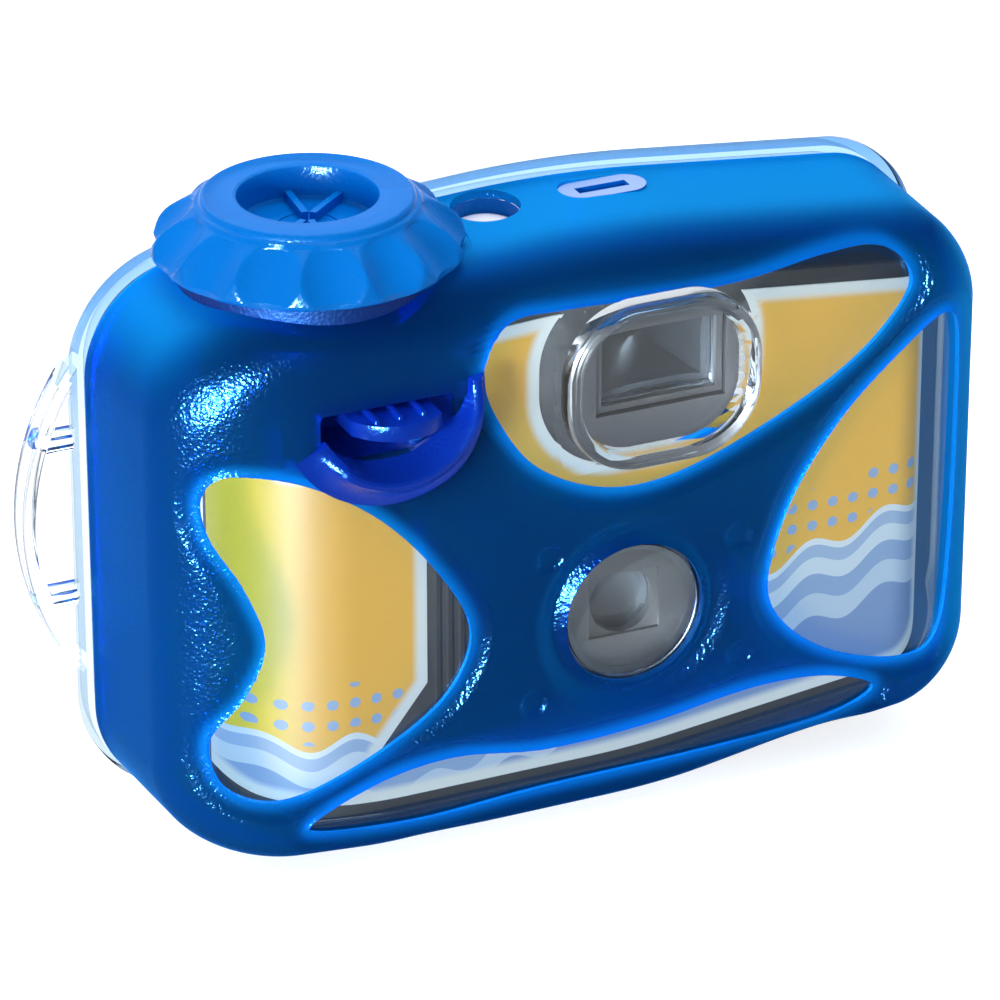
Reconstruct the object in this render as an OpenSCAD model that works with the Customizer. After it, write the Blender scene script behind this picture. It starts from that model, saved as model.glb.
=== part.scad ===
// Waterproof single-use film camera: a clear two-part case with a blue skin round a small 35 mm camera.
// Millimetres. +X to the right of the picture taker's subject side, -Y is the lens side, +Z is up.
// The origin is on the base, under the seam between the front and rear shells.

/* [Case outline] */
// Distance from the origin to the left side
body_left = 57.5; // [56:0.5:64]
// Distance from the origin to the right side
body_right = 60.5; // [59.5:0.5:66]
// Left end of the flat base
base_left = 34; // [26:1:40]
// Right end of the flat base
base_right = 10; // [4:1:20]
// Rise of the underside at the left side
rise_left = 2; // [0.5:0.5:2]
// Rise of the underside at the right side
rise_right = 5.5; // [2:0.5:7]
// Height of the left shoulder
top_left = 76.7; // [75.2:0.5:83.2]
// Height of the crown of the top
top_peak = 80.2; // [79.2:0.5:87.2]
// Place of the crown along the width
peak_x = 8; // [-4:1:16]
// Height of the right shoulder
top_right = 74.4; // [72.4:0.5:79.4]
// Rounding of the upper corners
corner_top_r = 13; // [8:1:16]
// Rounding of the lower corners
corner_base_r = 13; // [8:1:16]

// Height of the pattern of windows above the base
window_z = 1.2; // [0.6:0.1:2]

/* [Shells] */
// Depth of the front half, from the seam to the front face
front_depth = 27.5; // [27:0.5:34]
// Depth of the rear half
rear_depth = 12; // [11:0.5:18]
// Depth of the rounded edge of the front face
front_round = 11; // [8:0.5:12]
// Inset of the rounded edge of the front face
front_inset = 8.4; // [6:0.2:9]
// Thickness of the blue skin
skin_t = 1.2; // [0.8:0.1:1.3]
// Wall of the clear shells
wall_t = 1.4; // [1:0.1:1.5]
// Bond line between skin and shell
bond_gap = 0.05; // [0.02:0.01:0.1]
// Width of the rim of the rear shell outside the skin
rim_w = 1.6; // [1:0.1:2.4]
// Thickness of the rim of the rear shell
rim_t = 2.6; // [2.2:0.1:4]
// Height of the beads round the windows
bead_h = 0.9; // [0.4:0.1:1.4]
// Width of the beads round the windows
bead_w = 3; // [2:0.2:3.6]
// Width of the seal groove in the rear shell
groove_w = 1; // [0.8:0.1:1.2]
// Depth of the seal groove in the rear shell
groove_t = 1.2; // [0.8:0.1:1.6]

/* [Ports] */
// Lens centre along the width
lens_x = 7.7; // [5:0.1:10]
// Radius of the flat lens port
port_r = 9.9; // [8.5:0.1:10.5]
// Radius of the cone round the lens port
port_rim_r = 12.8; // [12:0.1:13.5]
// Finder centre along the width
finder_x = 13.4; // [12:0.1:15]
// Finder centre above the base
finder_z = 61.2; // [60.2:0.1:61.7]
// Width of the clear finder collar
collar_w = 27.5; // [25:0.5:29]
// Height of the clear finder collar
collar_h = 23; // [21:0.5:23.5]
// How far the collar stands out of the skin
collar_out = 1.8; // [1:0.1:2.4]
// Counter window along the width
counter_x = -3.6; // [-5:0.1:-2]
// Counter window along the depth
counter_y = -5.1; // [-6:0.1:-5.1]
// Radius of the counter window
counter_r = 4.6; // [4:0.1:4.8]

/* [Strap loop] */
// Reach of the strap loop beyond the left side
loop_reach = 8.8; // [8.4:0.1:12]
// Length of the strap slot
slot_l = 20; // [14:0.5:24]
// Height of the middle of the loop
loop_z = 42.7; // [37.2:0.5:47.2]
// Length of the loop along the left side
loop_l = 50; // [44:1:54]
// Thickness of the loop along the depth
loop_t = 4.2; // [3:0.1:6]

/* [Winding knob] */
// Winding axis along the width
axis_x = -29.6; // [-31:0.1:-29.4]
// Winding axis along the depth
axis_y = -8; // [-8.4:0.1:-7.6]
// Largest radius of the knob
knob_r = 20.2; // [18:0.1:22]
// Height of the knob
knob_h = 7.8; // [7.4:0.1:10]
// Running gap between the knob and its seat
knob_gap = 0.4; // [0.3:0.1:3]
// Radius of the well in the top of the knob
well_r = 9; // [7.5:0.1:9.5]
// Finger flutes round the knob
flute_count = 14; // [10:1:18]
// Radius of the round seat under the knob
seat_r = 18.6; // [17.5:0.1:19]
// Radius of the winding shaft
shaft_r = 4; // [3:0.1:4.5]
// Radial running clearance of shafts and pins
run_fit = 0.05; // [0.02:0.01:0.1]
// Gap between pieces that sit together
seat_gap = 0.2; // [0.1:0.05:0.3]

/* [Shutter lever] */
// Middle of the lever along the width
lever_x = -26.4; // [-27:0.1:-26]
// Width of the lever
lever_w = 11.6; // [10:0.1:11.8]
// Height of the top of the lever
lever_z = 63.7; // [62.7:0.1:64]
// Thickness of the lever
lever_t = 2.2; // [1.8:0.1:2.6]
// How far the lever stands out of the front face
lever_out = 4; // [3:0.1:5]
// Width of the lever's pocket
pocket_w = 18.4; // [17:0.1:18.8]
// Height of the lever's pocket
pocket_h = 7; // [6.6:0.1:7.2]
// Outer radius of the guard under the lever
guard_r = 12.1; // [12:0.1:12.6]
// How far the guard stands out of the front face
guard_out = 3.2; // [2:0.1:4]

/* [Inner camera] */
// Wall of the black covers
cover_t = 1.3; // [1:0.1:1.5]
// Radius of the cover round the film cassette
cover_r = 14.2; // [14.1:0.1:14.5]
// Height of the top of the inner camera
cam_top = 71.7; // [71.3:0.1:71.9]
// Rear face of the inner camera
cam_rear = 7; // [6.6:0.1:7.6]
// Thickness of the paper label
label_t = 0.25; // [0.1:0.05:0.4]
// Radius of the film cassette
cassette_r = 12.4; // [12:0.1:12.5]
// Height of the underside of the film cassette above the base
film_floor = 5.5; // [5.3:0.1:6.5]
// Height of the film cassette
cassette_h = 45.4; // [44:0.2:45.4]
// Width of the film
film_w = 35; // [34.9:0.1:35.1]
// Width of the picture on the film
frame_w = 36; // [35:0.5:36.5]
// Height of the picture on the film
frame_h = 24; // [23:0.5:24.5]
// Radius of the film roll
roll_r = 9; // [7.5:0.1:9.2]
// Winding wheel radius
wheel_r = 12; // [10:0.1:12.4]
// Radius of the taking lens
lens_r = 5.2; // [4:0.1:5.6]

/* [Hidden] */
$fn = 48;

// Colours
skin_blue = [0.03, 0.25, 0.78, 0.8];
knob_blue = [0.02, 0.42, 0.86];
clear = [0.85, 0.93, 1, 0.35];
black = [0.07, 0.07, 0.08];
label_yellow = [0.96, 0.68, 0.16];
steel = [0.7, 0.71, 0.73];
rubber = [0.12, 0.12, 0.13];

// Outline of the case from the front, as corners [x, z, radius], anticlockwise from the base
case_corners = [
    [-base_left, 0, 80],
    [base_right, 0, 120],
    [body_right, rise_right, corner_base_r],
    [body_right, top_right, corner_top_r],
    [peak_x, top_peak, 160],
    [-body_left, top_left, corner_top_r + 2],
    [-body_left, rise_left, corner_base_r + 2]];
// How strongly each edge is drawn in at the rounded front edge: base, rise, right, top right, top left, left, rise
front_draw = [0.3, 0.3, 0.8, 1, 1.2, 1.9, 0.4];
// The same where the front edge swells out under the knob
knob_draw = [0.3, 0.3, 0.8, 1, 0.5, 1.9, 0.4];
rear_draw = [0.4, 0.4, 1, 1, 1, 1.1, 0.5];
even_draw = [1, 1, 1, 1, 1, 1, 1];
rim_draw = [-0.2, -0.2, 1, 1, 1, 1, -0.2];
min_corner = 1.5;
arc_steps = 8;
round_steps = 6;
top_steps = 8;

// Window outlines, as points on a smooth closed curve, anticlockwise, each measured from its own corner of the case
left_points = [[10, 57], [6.5, 54.5], [7, 48.5], [11, 41], [13.5, 33], [11, 26], [6.7, 19.5], [8.5, 12.5],
    [16, 10], [27.5, 13.5], [38, 20], [42, 28.5], [38, 37.5], [29.5, 47.5], [19, 54.5]];
upper_points = [[-21.5, -13], [-20, -20], [-14, -28.5], [-4, -33.4], [7, -33], [22, -27.2], [33, -20.5],
    [39.5, -12.5], [37, -8], [28, -7.2], [12, -8], [-9, -7.5], [-18, -8]];
right_points = [[-33.2, 27], [-30, 20], [-22.5, 14.5], [-12.5, 11.8], [-7.5, 15], [-5.7, 28], [-5.2, 45], [-5.5, 58],
    [-8, 61.5], [-14.5, 57], [-23, 49], [-30, 38.5]];
lower_points = [[-38.5, 5], [-24, 3.1], [-5, 3.9], [18, 4.2], [36, 5.2], [43.5, 8.3], [36, 11.5], [25, 12],
    [10, 10], [-5, 9.5], [-18, 11.2], [-29, 9.7]];
curve_steps = 4;
// Round bosses beside the lens, from the lens centre
boss_places = [[-12.3, 10.4], [15, 8.4], [-14.5, -10.2], [15.3, -9.3]];

// Levels through the case
lens_z = film_floor + cassette_h / 2;
shell_e = skin_t + bond_gap;
cavity_e = shell_e + wall_t;
land_in = cavity_e + 0.7;
front_y = -front_depth;
shell_y = front_y + shell_e;
cavity_y = front_y + cavity_e;
draft = 0.6;
seat_z = seat_level(axis_x) + 0.4;
knob_z0 = seat_z + knob_gap;
knob_z1 = knob_z0 + knob_h;

// Shutter pocket and lever
pocket_wall = 1.2;
pocket_z0 = lever_z - 5.7;
pocket_z1 = pocket_z0 + pocket_h;
pocket_y = -16.8;
pocket_x0 = lever_x - 0.8 - pocket_w / 2;
pocket_x1 = pocket_x0 + pocket_w;
pivot_y = -18.6;
pivot_z = lever_z - lever_t / 2;
pivot_r = 1.3;
pin_r = 0.8;
plunger_x = -22;
plunger_y = -23.4;
plunger_r = 1.5;
lever_play = 0.4;
plunger_z1 = lever_z - lever_t - lever_play;
plunger_z0 = pocket_z0 - pocket_wall - 0.5;

// Inner camera
cover_front = axis_y - cover_r;
cam_right = body_right - 6.5;
cam_split = -4;
cam_draw = [0.5, 0.5, 0.85, 0.95, 0.95, 1.5, 0.5];
label_draw = [0.8, 0.8, 0.95, 1.3, 1.3, 1.5, 0.9];
cam_gap = 0.35;
cam_inset = 7;
film_y = 2.6;
film_t = 0.14;
cassette_z0 = film_floor;
cassette_z1 = film_floor + cassette_h;
cap_t = 0.8;
gate_t = 1.5;
gate_y = film_y - seat_gap - gate_t;
deck_z = lens_z + 20;
deck_t = 1.4;
supply_x = cam_right - 18.5;
supply_y = film_y - roll_r;
chamber_r = roll_r + 1.2;
chamber_wall = 0.8;
film_z0 = lens_z - film_w / 2;
film_z1 = lens_z + film_w / 2;
board_y = -17.2;
board_t = 1.2;
finder_w = 16.4;
finder_h = 10.2;
finder_wall = 0.9;
wheel_z = pocket_z1 + pocket_wall + 0.5;
wheel_t = 2;
spool_r = 5.4;
spool_z1 = wheel_z - 3.4;
key_w = 4.4;
sprocket_x = axis_x + cassette_r + 7.2;
sprocket_r = 5.7;
sprocket_y = film_y - 0.3 - 1.1 - sprocket_r;
sprocket_z = lens_z + 15.4;
axle_r = 1.2;
disc_r = 8.6;
disc_x = counter_x + 6.5;
disc_y = counter_y;
disc_z = cam_top - cover_t - 1.4;
disc_t = 0.8;
blade_y = board_y + board_t + 0.3;
blade_t = 0.4;
blade_pivot = [lens_x + 9, lens_z + 6];
strike_pivot = [lens_x - 10, lens_z + 9];
strike_y = blade_y + blade_t + 0.4;
strike_t = 1;
stud_r = 1;

// Plane geometry
function unit(v) = v / norm(v);
function turn_left(v) = [-v[1], v[0]];
function xy(p) = [p[0], p[1]];
function wrap(list, i) = list[(i + len(list)) % len(list)];
function cross2(u, v) = u[0] * v[1] - u[1] * v[0];
function meet(p, u, q, v) = p + u * cross2(q - p, v) / cross2(u, v);
function edge_dir(c, i) = unit(xy(wrap(c, i + 1)) - xy(wrap(c, i)));
// Corners of an outline with each edge moved inwards by d times its weight
function draw_in(c, w, d) = [for (i = [0 : len(c) - 1])
    let (u = edge_dir(c, i - 1), v = edge_dir(c, i),
        p = xy(c[i]) + turn_left(u) * d * wrap(w, i - 1),
        q = xy(c[i]) + turn_left(v) * d * w[i],
        m = meet(p, u, q, v))
    [m[0], m[1], max(min_corner, c[i][2] - d * (wrap(w, i - 1) + w[i]) / 2)]];
// Points of an arc of radius r in the corner b between a and c
function corner_arc(a, b, c, r) = let (u = unit(a - b), v = unit(c - b), half = acos(u * v) / 2,
        m = b + unit(u + v) * r / sin(half), s = b + u * r / tan(half) - m, a0 = atan2(s[1], s[0]))
    [for (k = [0 : arc_steps]) let (g = a0 + (180 - 2 * half) * k / arc_steps) m + r * [cos(g), sin(g)]];
function rounded(c) = [for (i = [0 : len(c) - 1])
    each corner_arc(xy(wrap(c, i - 1)), xy(c[i]), xy(wrap(c, i + 1)), c[i][2])];
function rect_corners(x0, z0, x1, z1, r) = [[x0, z0, r], [x1, z0, r], [x1, z1, r], [x0, z1, r]];
// Smooth closed curve through points
function blend_point(a, b, c, d, t) = 0.5 * (2 * b + (c - a) * t + (2 * a - 5 * b + 4 * c - d) * t * t
    + (3 * b - a - 3 * c + d) * t * t * t);
function closed_curve(p) = [for (i = [0 : len(p) - 1], k = [0 : curve_steps - 1])
    blend_point(wrap(p, i - 1), p[i], wrap(p, i + 1), wrap(p, i + 2), k / curve_steps)];
function grown(c, d) = [for (i = [0 : len(c) - 1]) c[i] - turn_left(unit(wrap(c, i + 1) - wrap(c, i - 1))) * d];
function moved(p, v) = [for (q = p) q + v];

window_curves = [
    closed_curve(moved(left_points, [-body_left, window_z])),
    closed_curve(moved(upper_points, [peak_x, top_peak])),
    closed_curve(moved(right_points, [body_right, window_z])),
    closed_curve(moved(lower_points, [0, window_z]))];

// Height of the outline of the top at x, left of the crown
function seat_level(x) = top_left + (top_peak - top_left) * (x + body_left) / (peak_x + body_left);

// Rings of the front half, drawn in by e, from the seam at y0 to the front face
function front_steps(e, y0) = concat(y0 > 0 ? [[y0, 0]] : [], [[0, 0], [-front_depth + front_round + e, draft]],
    [for (k = [1 : round_steps]) let (a = 90 * k / round_steps)
        [-front_depth + front_round + e - front_round * sin(a), draft + front_inset * (1 - cos(a))]]);
function ring_at(c, w, d, y) = [for (p = rounded(draw_in(c, w, d))) [p[0], y, p[1]]];
// Outline with extra points along the top left edge
function parted(c, w, d) = let (p = rounded(draw_in(c, w, d)), n = arc_steps + 1, k = 5 * n)
    concat([for (i = [0 : k - 1]) p[i]], [for (i = [1 : top_steps - 1]) p[k - 1] + (p[k] - p[k - 1]) * i / top_steps],
        [for (i = [k : len(p) - 1]) p[i]]);
function ease(t) = let (u = min(1, max(0, t))) u * u * (3 - 2 * u);
// How far the outline at x, z takes part in the swelling under the knob
function swell(p) = p[1] < seat_z / 2 ? 0 : 1 - ease((abs(p[0] - axis_x) - 0.5 * seat_r) / (0.8 * seat_r));
function front_ring(c, d, y) = let (a = parted(c, front_draw, d), b = parted(c, knob_draw, d))
    [for (i = [0 : len(a) - 1]) let (p = a[i] + (b[i] - a[i]) * swell(a[i])) [p[0], y, p[1]]];
function front_rings(e, y0) = [for (s = front_steps(e, y0))
    front_ring(draw_in(case_corners, even_draw, e), s[1], s[0])];
rear_round = 8;
rear_inset = 7;
function rear_rings(e) = let (c = draw_in(case_corners, even_draw, e)) concat(
    [for (k = [round_steps : -1 : 0]) let (a = 90 * k / round_steps)
        ring_at(c, rear_draw, rear_inset * (1 - cos(a)), rear_depth - e - rear_round * (1 - sin(a)))],
    [ring_at(c, rear_draw, 0, 0)]);
// Hollow of the rear half, narrower at the seam to carry the seal groove
function rear_cavity() = let (r = rear_rings(wall_t), n = len(r), c = draw_in(case_corners, even_draw, land_in))
    concat([for (k = [0 : n - 2]) r[k]], [ring_at(c, rear_draw, 0, rim_t - 0.2), ring_at(c, rear_draw, 0, -1)]);
// Solid through rings of equal length, listed from the rear towards the front
module loft(rings) {
    n = len(rings[0]);
    last = (len(rings) - 1) * n;
    sides = [for (k = [0 : len(rings) - 2], i = [0 : n - 1])
        let (j = (i + 1) % n, a = k * n + i, b = k * n + j, c = (k + 1) * n + j, d = (k + 1) * n + i)
        each [[a, d, c], [a, c, b]]];
    polyhedron([for (r = rings) each r],
        concat([[for (i = [0 : n - 1]) i]], [[for (i = [n - 1 : -1 : 0]) last + i]], sides));
}
// Outline in the plane of the front face, carried along the depth
module along_y(y0, y1, points) {
    translate([0, y1, 0]) rotate([90, 0, 0]) linear_extrude(y1 - y0) polygon(points);
}
module tube_z(x, y, z0, z1, r_out, r_in) {
    translate([x, y, z0]) difference() {
        cylinder(r = r_out, h = z1 - z0);
        translate([0, 0, -1]) cylinder(r = r_in, h = z1 - z0 + 2);
    }
}
module rod_z(x, y, z0, z1, r) {
    translate([x, y, z0]) cylinder(r = r, h = z1 - z0);
}
module rod_y(x, z, y0, y1, r) {
    translate([x, y1, z]) rotate([90, 0, 0]) cylinder(r = r, h = y1 - y0);
}
module rod_x(y, z, x0, x1, r) {
    translate([x0, y, z]) rotate([0, 90, 0]) cylinder(r = r, h = x1 - x0);
}
module block(x0, y0, z0, x1, y1, z1) {
    translate([x0, y0, z0]) cube([x1 - x0, y1 - y0, z1 - z0]);
}
module turned_y(x, z) {
    translate([x, 0, z]) rotate([90, 0, 0]) rotate_extrude() children();
}

// Outlines shared by the shells, the skin and what passes through them
collar_cx = finder_x - 2.2;
function collar_ring(d) = rounded(rect_corners(collar_cx - collar_w / 2 - d, finder_z - collar_h / 2 - d,
    collar_cx + collar_w / 2 + d, finder_z + collar_h / 2 + d, 10 + d));
latch_x = 13;
latch_y = -5.2;
latch_w = 12.2;
latch_d = 5.6;
module latch_oval(d, z0, z1) {
    for (s = [-1, 1]) rod_z(latch_x + s * (latch_w - latch_d) / 2, latch_y, z0, z1, latch_d / 2 + d);
    block(latch_x - (latch_w - latch_d) / 2, latch_y - latch_d / 2 - d, z0,
        latch_x + (latch_w - latch_d) / 2, latch_y + latch_d / 2 + d, z1);
}
latch_z = top_peak - 0.6;
counter_floor = top_peak - 5;

module front_shell() {
    color(clear) difference() {
        union() {
            difference() {
                union() {
                    loft(front_rings(shell_e, 0));
                    front_half() rod_z(axis_x, axis_y, seat_z - 11, seat_z, seat_r - skin_t - bond_gap);
                    along_y(front_y - collar_out, cavity_y + 0.5, collar_ring(0));
                    latch_oval(0, top_peak - 4, latch_z);
                }
                loft(front_rings(cavity_e, 1));
                along_y(front_y - collar_out - 1, shell_y - 0.1, collar_ring(-2));
                block(latch_x - 3.6, latch_y - 0.9, top_peak - 1.8, latch_x + 3.6, latch_y + 0.9, top_peak + 2);
            }
            rod_z(axis_x, axis_y, seat_z - 5, seat_z - 1, shaft_r + 3);
            block(pocket_x0 - pocket_wall, shell_y + 0.4, pocket_z0 - pocket_wall,
                pocket_x1 + pocket_wall, pocket_y + pocket_wall, pocket_z1 + pocket_wall);
            for (p = boss_places)
                rod_y(lens_x + p[0], lens_z + p[1], cavity_y - 0.5, cover_front - label_t - seat_gap, 1.6);
            rod_y(lens_x, lens_z, cavity_y - 0.5, cavity_y + 0.8, port_r + 0.6);
            front_half() rod_z(counter_x, counter_y, counter_floor - 1.2, top_peak - 2.4, counter_r + 1.2);
        }
        rod_z(axis_x, axis_y, seat_z - 20, seat_z + 5, shaft_r + run_fit);
        block(pocket_x0, front_y - 5, pocket_z0, pocket_x1, pocket_y, pocket_z1);
        rod_x(pivot_y, pivot_z, pocket_x0 - 0.8, pocket_x1 + 0.8, pin_r + run_fit);
        rod_z(plunger_x, plunger_y, pocket_z0 - 5, pocket_z0 + 1, plunger_r + run_fit);
        rod_y(lens_x, lens_z, front_y - 5, shell_y + 1, port_r - 0.4);
        rod_y(lens_x, lens_z, front_y - 5, cavity_y + 2, port_r - 1.6);
        rod_z(counter_x, counter_y, top_peak - 10, top_peak + 1, counter_r - 1.2);
        rod_z(counter_x, counter_y, counter_floor, top_peak + 1, counter_r);
    }
}

// Raised rim round the windows, following the face of the skin
module bead(h, w) {
    intersection() {
        loft(front_rings(-h, 0));
        for (c = window_curves) along_y(front_y - 4, front_y + 8.5, grown(c, w));
    }
}
module front_skin() {
    color(skin_blue) difference() {
        union() {
            loft(front_rings(0, 0));
            bead(bead_h / 2, bead_w);
            bead(bead_h, bead_w * 0.55);
            turned_y(lens_x, lens_z) polygon([[0, -shell_y - 0.5], [port_rim_r + 1.6, -front_y - 0.5],
                [port_rim_r + 1, -front_y + 0.4], [port_rim_r - 0.8, -front_y + 1.1], [port_r + 1, -front_y + 0.7],
                [port_r, -front_y], [0, -front_y]]);
            for (p = boss_places) rod_y(lens_x + p[0], lens_z + p[1], front_y - 0.5, front_y + 0.5, 2);
        }
        loft(front_rings(skin_t, 1));
        for (c = window_curves) along_y(front_y - 5, -10, c);
        along_y(front_y - 5, cavity_y + 5, collar_ring(bond_gap));
        rod_y(lens_x, lens_z, front_y - 5, shell_y + 1, port_r);
        rod_z(axis_x, axis_y, seat_z - 12, seat_z + 1, seat_r - skin_t);
        knob_room();
        block(pocket_x0, front_y - 1, pocket_z0, pocket_x1, shell_y + 1, pocket_z1);
        latch_oval(bond_gap, top_peak - 6, top_peak + 1);
        rod_z(counter_x, counter_y, top_peak - 8, top_peak + 1, counter_r);
    }
    color(skin_blue) lever_guard();
}
guard_x = lever_x - 1.4;
guard_z = lever_z + 2.1;
guard_t = 1.5;
// Curved wall under the lever, open at its upper left
module lever_guard() {
    intersection() {
        difference() {
            rod_y(guard_x, guard_z, front_y - guard_out, front_y + 0.4, guard_r);
            rod_y(guard_x, guard_z, front_y - guard_out - 1, front_y + 1, guard_r - guard_t);
        }
        union() {
            block(guard_x - guard_r, front_y - guard_out - 1, guard_z - guard_r - 1,
                guard_x + guard_r + 1, shell_y, guard_z - 4.6);
            block(guard_x, front_y - guard_out - 1, guard_z - 5, guard_x + guard_r + 1, shell_y, guard_z + 1.4);
        }
    }
}
// Flat round face over which the knob turns
module knob_room() {
    rod_z(axis_x, axis_y, seat_z, seat_z + 10, knob_r + 0.6);
}
module front_half() {
    intersection() {
        block(-100, -100, 0, 100, 0, 120);
        children();
    }
}
module rear_half() {
    intersection() {
        block(-100, bond_gap, 0, 100, 100, 120);
        children();
    }
}

loop_depth = 0.4;
loop_band = 2.1;
strut_t = 2.2;
// Bow of the strap loop with two struts back to the rim
module strap_loop() {
    sag = loop_reach + 1;
    r = (loop_l * loop_l / 4 + sag * sag) / (2 * sag);
    cx = -body_left - loop_reach + r;
    intersection() {
        union() {
            difference() {
                rod_y(cx, loop_z, loop_depth, loop_depth + loop_t, r);
                rod_y(cx, loop_z, 0, loop_depth + loop_t + 1, r - loop_band);
            }
            intersection() {
                rod_y(cx, loop_z, loop_depth, loop_depth + loop_t, r - 0.4);
                for (k = [-1, 1]) block(-body_left - loop_reach, 0, loop_z + k * (slot_l + strut_t) / 2 - strut_t / 2,
                    -body_left, loop_t + 2, loop_z + k * (slot_l + strut_t) / 2 + strut_t / 2);
            }
        }
        block(-body_left - loop_reach - 1, 0, loop_z - loop_l / 2 - 1, -body_left - 0.4, loop_t + 2,
            loop_z + loop_l / 2 + 1);
    }
}
module rear_shell() {
    color(clear) difference() {
        union() {
            loft(rear_rings(0));
            loft([ring_at(case_corners, rim_draw, -rim_w, rim_t), ring_at(case_corners, rim_draw, -rim_w, bond_gap)]);
            strap_loop();
            along_y(rear_depth - 2, rear_depth + 1.4, rounded(rect_corners(finder_x - 8.5, finder_z - 7,
                finder_x + 8.5, finder_z + 6, 3)));
            rear_half() rod_z(axis_x, axis_y, seat_z - 8, seat_z - 0.5, seat_r);
        }
        difference() {
            loft(rear_cavity());
            for (k = [-1, 1], t = [14, 50])
                rod_y(lens_x + k * 26, t, cam_rear + seat_gap, rear_depth, 2.4);
        }
        difference() {
            along_y(-1, groove_t, rounded(draw_in(case_corners, even_draw, groove_in)));
            along_y(-2, groove_t + 1, rounded(draw_in(case_corners, even_draw, groove_in + groove_w)));
        }
        knob_room();
        along_y(rear_depth - 0.6, rear_depth + 2, rounded(rect_corners(finder_x - 7.2, finder_z - 5.7,
            finder_x + 7.2, finder_z + 4.7, 2)));
    }
}
// Seal groove, facing the edge of the clear front shell
groove_in = shell_e + 0.15;
module shell_gasket() {
    color(rubber) difference() {
        along_y(0, groove_t - 0.1, rounded(draw_in(case_corners, even_draw, groove_in + 0.1)));
        along_y(-1, groove_t, rounded(draw_in(case_corners, even_draw, groove_in + groove_w - 0.1)));
    }
}
module lens_window() {
    color(clear) union() {
        rod_y(lens_x, lens_z, shell_y - 0.4, shell_y + 1 - bond_gap, port_r - 0.4 - bond_gap);
    }
}
module counter_lens() {
    color([0.8, 0.83, 0.86]) translate([counter_x, counter_y, counter_floor + bond_gap]) intersection() {
        cylinder(r = counter_r - bond_gap, h = 4);
        translate([0, 0, 2.2 - 9]) sphere(r = 9, $fn = 64);
    }
}

// Knob profile as [radius, height over the skirt], outside from the skirt to the well, then the underside
hub_r = shaft_r + 2.4;
flute_r = 5.4;
flute_t = 1.6;
flute_tilt = 33;
module advance_knob() {
    top = knob_h;
    color(knob_blue) translate([axis_x, axis_y, knob_z0]) union() {
        difference() {
            rotate_extrude($fn = 96) polygon([[knob_r - 2.4, 0], [knob_r - 1.1, 0], [knob_r, 2.2],
                [knob_r - 0.5, 3.6], [knob_r - 4.6, top - 1.6], [knob_r - 6, top - 0.9], [knob_r - 6.3, top],
                [well_r + 0.4, top], [well_r, top - 0.5], [well_r, 3.4], [shaft_r + run_fit, 3.4],
                [shaft_r + run_fit, 0.4], [hub_r, 0.4], [hub_r, 2.2], [well_r + 1.4, 2.2],
                [well_r + 1.4, top - 2], [knob_r - 6.4, top - 2], [knob_r - 2.4, 2.6]]);
            for (i = [0 : flute_count - 1]) rotate([0, 0, i * 360 / flute_count])
                translate([knob_r + flute_r - flute_t, 0, 2.2]) rotate([0, -flute_tilt, 0])
                    translate([0, 0, -8]) cylinder(r = flute_r, h = 20);
        }
        for (i = [0 : 5]) rotate([0, 0, i * 60])
            translate([shaft_r + run_fit, -0.6, 3.4 - 0.2]) cube([well_r - shaft_r - run_fit + 0.2, 1.2, 2.6]);
    }
}
seal_z = seat_z - 3;
seal_r = 0.8;
clip_t = 0.8;
clip_z = seat_z - 5 - clip_t - 0.2;
module knob_shaft() {
    color(knob_blue) difference() {
        union() {
            rod_z(axis_x, axis_y, wheel_z + wheel_t + 0.6, knob_z0 + 3.4, shaft_r);
            translate([axis_x - key_w / 2, axis_y - key_w / 2, wheel_z + 0.4]) cube([key_w, key_w, wheel_t + 0.6]);
        }
        tube_z(axis_x, axis_y, seal_z - seal_r - 0.1, seal_z + seal_r + 0.1, shaft_r + 1, shaft_r - 2 * seal_r);
        tube_z(axis_x, axis_y, clip_z - 0.1, clip_z + clip_t + 0.1, shaft_r + 1, shaft_r - 1);
    }
}
module knob_seal() {
    color(rubber) translate([axis_x, axis_y, seal_z]) rotate_extrude() translate([shaft_r - seal_r, 0])
        circle(r = seal_r);
}
module knob_clip() {
    color(steel) difference() {
        tube_z(axis_x, axis_y, clip_z, clip_z + clip_t, shaft_r + 2.2, shaft_r - 1 + bond_gap);
        block(axis_x - 1.6, axis_y, clip_z - 1, axis_x + 1.6, axis_y + 10, clip_z + 2);
    }
}

module shutter_lever() {
    x0 = lever_x - lever_w / 2;
    x1 = lever_x + lever_w / 2;
    tip = front_y - lever_out;
    bow_r = 16;
    color(skin_blue) difference() {
        union() {
            intersection() {
                block(x0, tip, lever_z - lever_t, x1, pivot_y, lever_z);
                rod_z(lever_x + 1.2, tip + bow_r, lever_z - 5, lever_z + 1, bow_r);
            }
            rod_x(pivot_y, pivot_z, x0, x1, pivot_r);
            for (s = [-1, 0, 1]) block(lever_x + s * 3.2 - 0.4, tip + 1.6, lever_z - 0.2,
                lever_x + s * 3.2 + 0.4, front_y + 2, lever_z + 0.7);
        }
        rod_x(pivot_y, pivot_z, x0 - 1, x1 + 1, pin_r + run_fit);
    }
}
module lever_pin() {
    color(steel) rod_x(pivot_y, pivot_z, pocket_x0 - 0.7, pocket_x1 + 0.7, pin_r);
}
head_t = 0.8;
head_r = 1.9;
plunger_seal_r = 0.3;
plunger_seal_z = pocket_z0 - pocket_wall / 2;
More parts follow.
